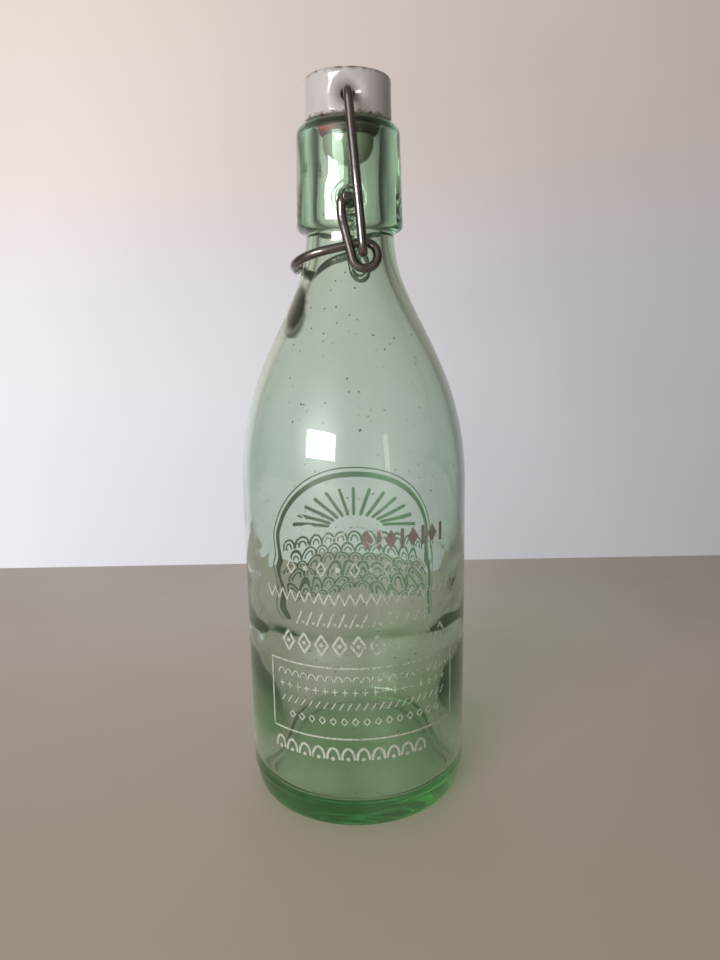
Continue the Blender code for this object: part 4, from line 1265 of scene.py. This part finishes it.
def paint_room(world):
    """A pale wall behind and a dimmer room in front, by the direction that a ray leaves in."""
    world.use_nodes = True
    world.node_tree.nodes.clear()
    add = partial(node, world.node_tree)
    toward = add("TexCoord")["Generated"]
    aside, ahead, up = add("SeparateXYZ", [toward])
    camera_ray = add("LightPath")["Is Camera Ray"]

    # The wall's brightness: a slanting fall from left to right, a dim corner, the ceiling and uneven plaster.
    lean = add("Math", [up, WALL_LEAN], **TIMES)[0]
    across = add("Math", [aside, lean], **MINUS)[0]
    side = add("MapRange", [across, WALL_LEFT_END, WALL_RIGHT_END, WALL_LEFT, WALL_RIGHT])[0]
    plaster = add("TexNoise", {"Vector": toward, "Scale": 2.6, "Detail": 3.0})["Fac"]
    for parts in (
        [aside, CORNER_END, CORNER_START, CORNER_SHARE, 1.0],
        [up, CEILING_START, CEILING_FULL, 1.0, CEILING_SHARE],
        [plaster, 0.3, 0.7, 0.97, 1.03],
    ):
        share = add("MapRange", parts, **EASED)[0]
        side = add("Math", [side, share], **TIMES)[0]
    palest = add("Math", [camera_ray, PALEST_RIGHT], **TIMES)[0]
    side = add("Math", [side, palest], **LARGER)[0]

    # The glow round the window, which the camera doesn't see.
    off = add("VectorMath", [toward, toward_window()], **APART)["Value"]
    glow = add("MapRange", [off, GLOW_REACH, GLOW_FULL, 0.0, WINDOW_GLOW], **EASED)[0]
    unseen = add("Math", [1.0, camera_ray], **MINUS)[0]
    glow = add("Math", [glow, unseen], **TIMES)[0]

    # The colours of the wall behind and of the room in front.
    warmth = add("MapRange", [up, WALL_COOL_BELOW, WALL_WARM_ABOVE], **EASED)[0]
    wall = add("Mix", {0: warmth, 6: "#e2e2e8", 7: "#ded0c8"}, **TINTED)[2]
    raised = add("MapRange", [up, ROOM_LOW, ROOM_HIGH], **EASED)[0]
    dim = add("Mix", {0: raised, 6: "#6c6660", 7: "#aaa49e"}, **TINTED)[2]
    behind = add("MapRange", [ahead, ROOM_END, WALL_START], **EASED)[0]
    paler = add("Math", [camera_ray, PALER_BEHIND], **TIMES)[0]
    share = add("Math", [behind, paler], **LARGER)[0]
    colour = add("Mix", {0: share, 6: dim, 7: wall}, **TINTED)[2]
    strength = add("Math", [side, glow], **PLUS)[0]
    ground = add("Background", {"Color": colour, "Strength": strength})[0]
    add("OutputWorld", {"Surface": ground})


bpy.context.scene.world = bpy.data.worlds.new("room")
paint_room(bpy.context.scene.world)
print("the wall is", WALL_LEFT, "bright on the left and", WALL_RIGHT, "on the right")

# %% [markdown]
# One soft lamp stands in for the window, in front and to the left, a little above the bottle. Its direction
# and size come from its reflection: the white patch on the shoulder says where it lies and how wide it looks.
# A tall narrow lamp on the right gives the faint upright line there. Near lamps would light the table in
# patches of their own, so both hang four metres off, as large and bright there as they look from the bottle.

# %% Hang the lamps
LAMP_DISTANCE = 4000.0 * MM
LAMP_AIM = Vector((0.0, 0.0, 110.0 * MM))


def lamp(name, turned_left, raised, wide, tall, power, colour):
    """A soft lamp that faces the bottle, its direction and size in degrees as the bottle sees it."""
    light = bpy.data.lights.new(name, "AREA")
    light.shape = "RECTANGLE"
    light.size = 2 * LAMP_DISTANCE * math.tan(math.radians(wide / 2))
    light.size_y = 2 * LAMP_DISTANCE * math.tan(math.radians(tall / 2))
    light.energy = power
    light.color = linear(colour)[:3]
    left, up = math.radians(turned_left), math.radians(raised)
    way = Vector((-math.sin(left) * math.cos(up), -math.cos(left) * math.cos(up), math.sin(up)))
    made = bpy.data.objects.new(name, light)
    made.location = LAMP_AIM + way * LAMP_DISTANCE
    made.rotation_euler = way.to_track_quat("Z", "Y").to_euler()
    made.visible_camera = False
    bpy.context.scene.collection.objects.link(made)
    print(name, "is", round(light.size / MM), "by", round(light.size_y / MM), "mm")


lamp("window_lamp", 34.0, 11.5, 30.0, 11.5, 96.0, "#ffffff")
lamp("strip_lamp", -33.0, 8.0, 5.0, 16.0, 2.0, "#fff4ea")
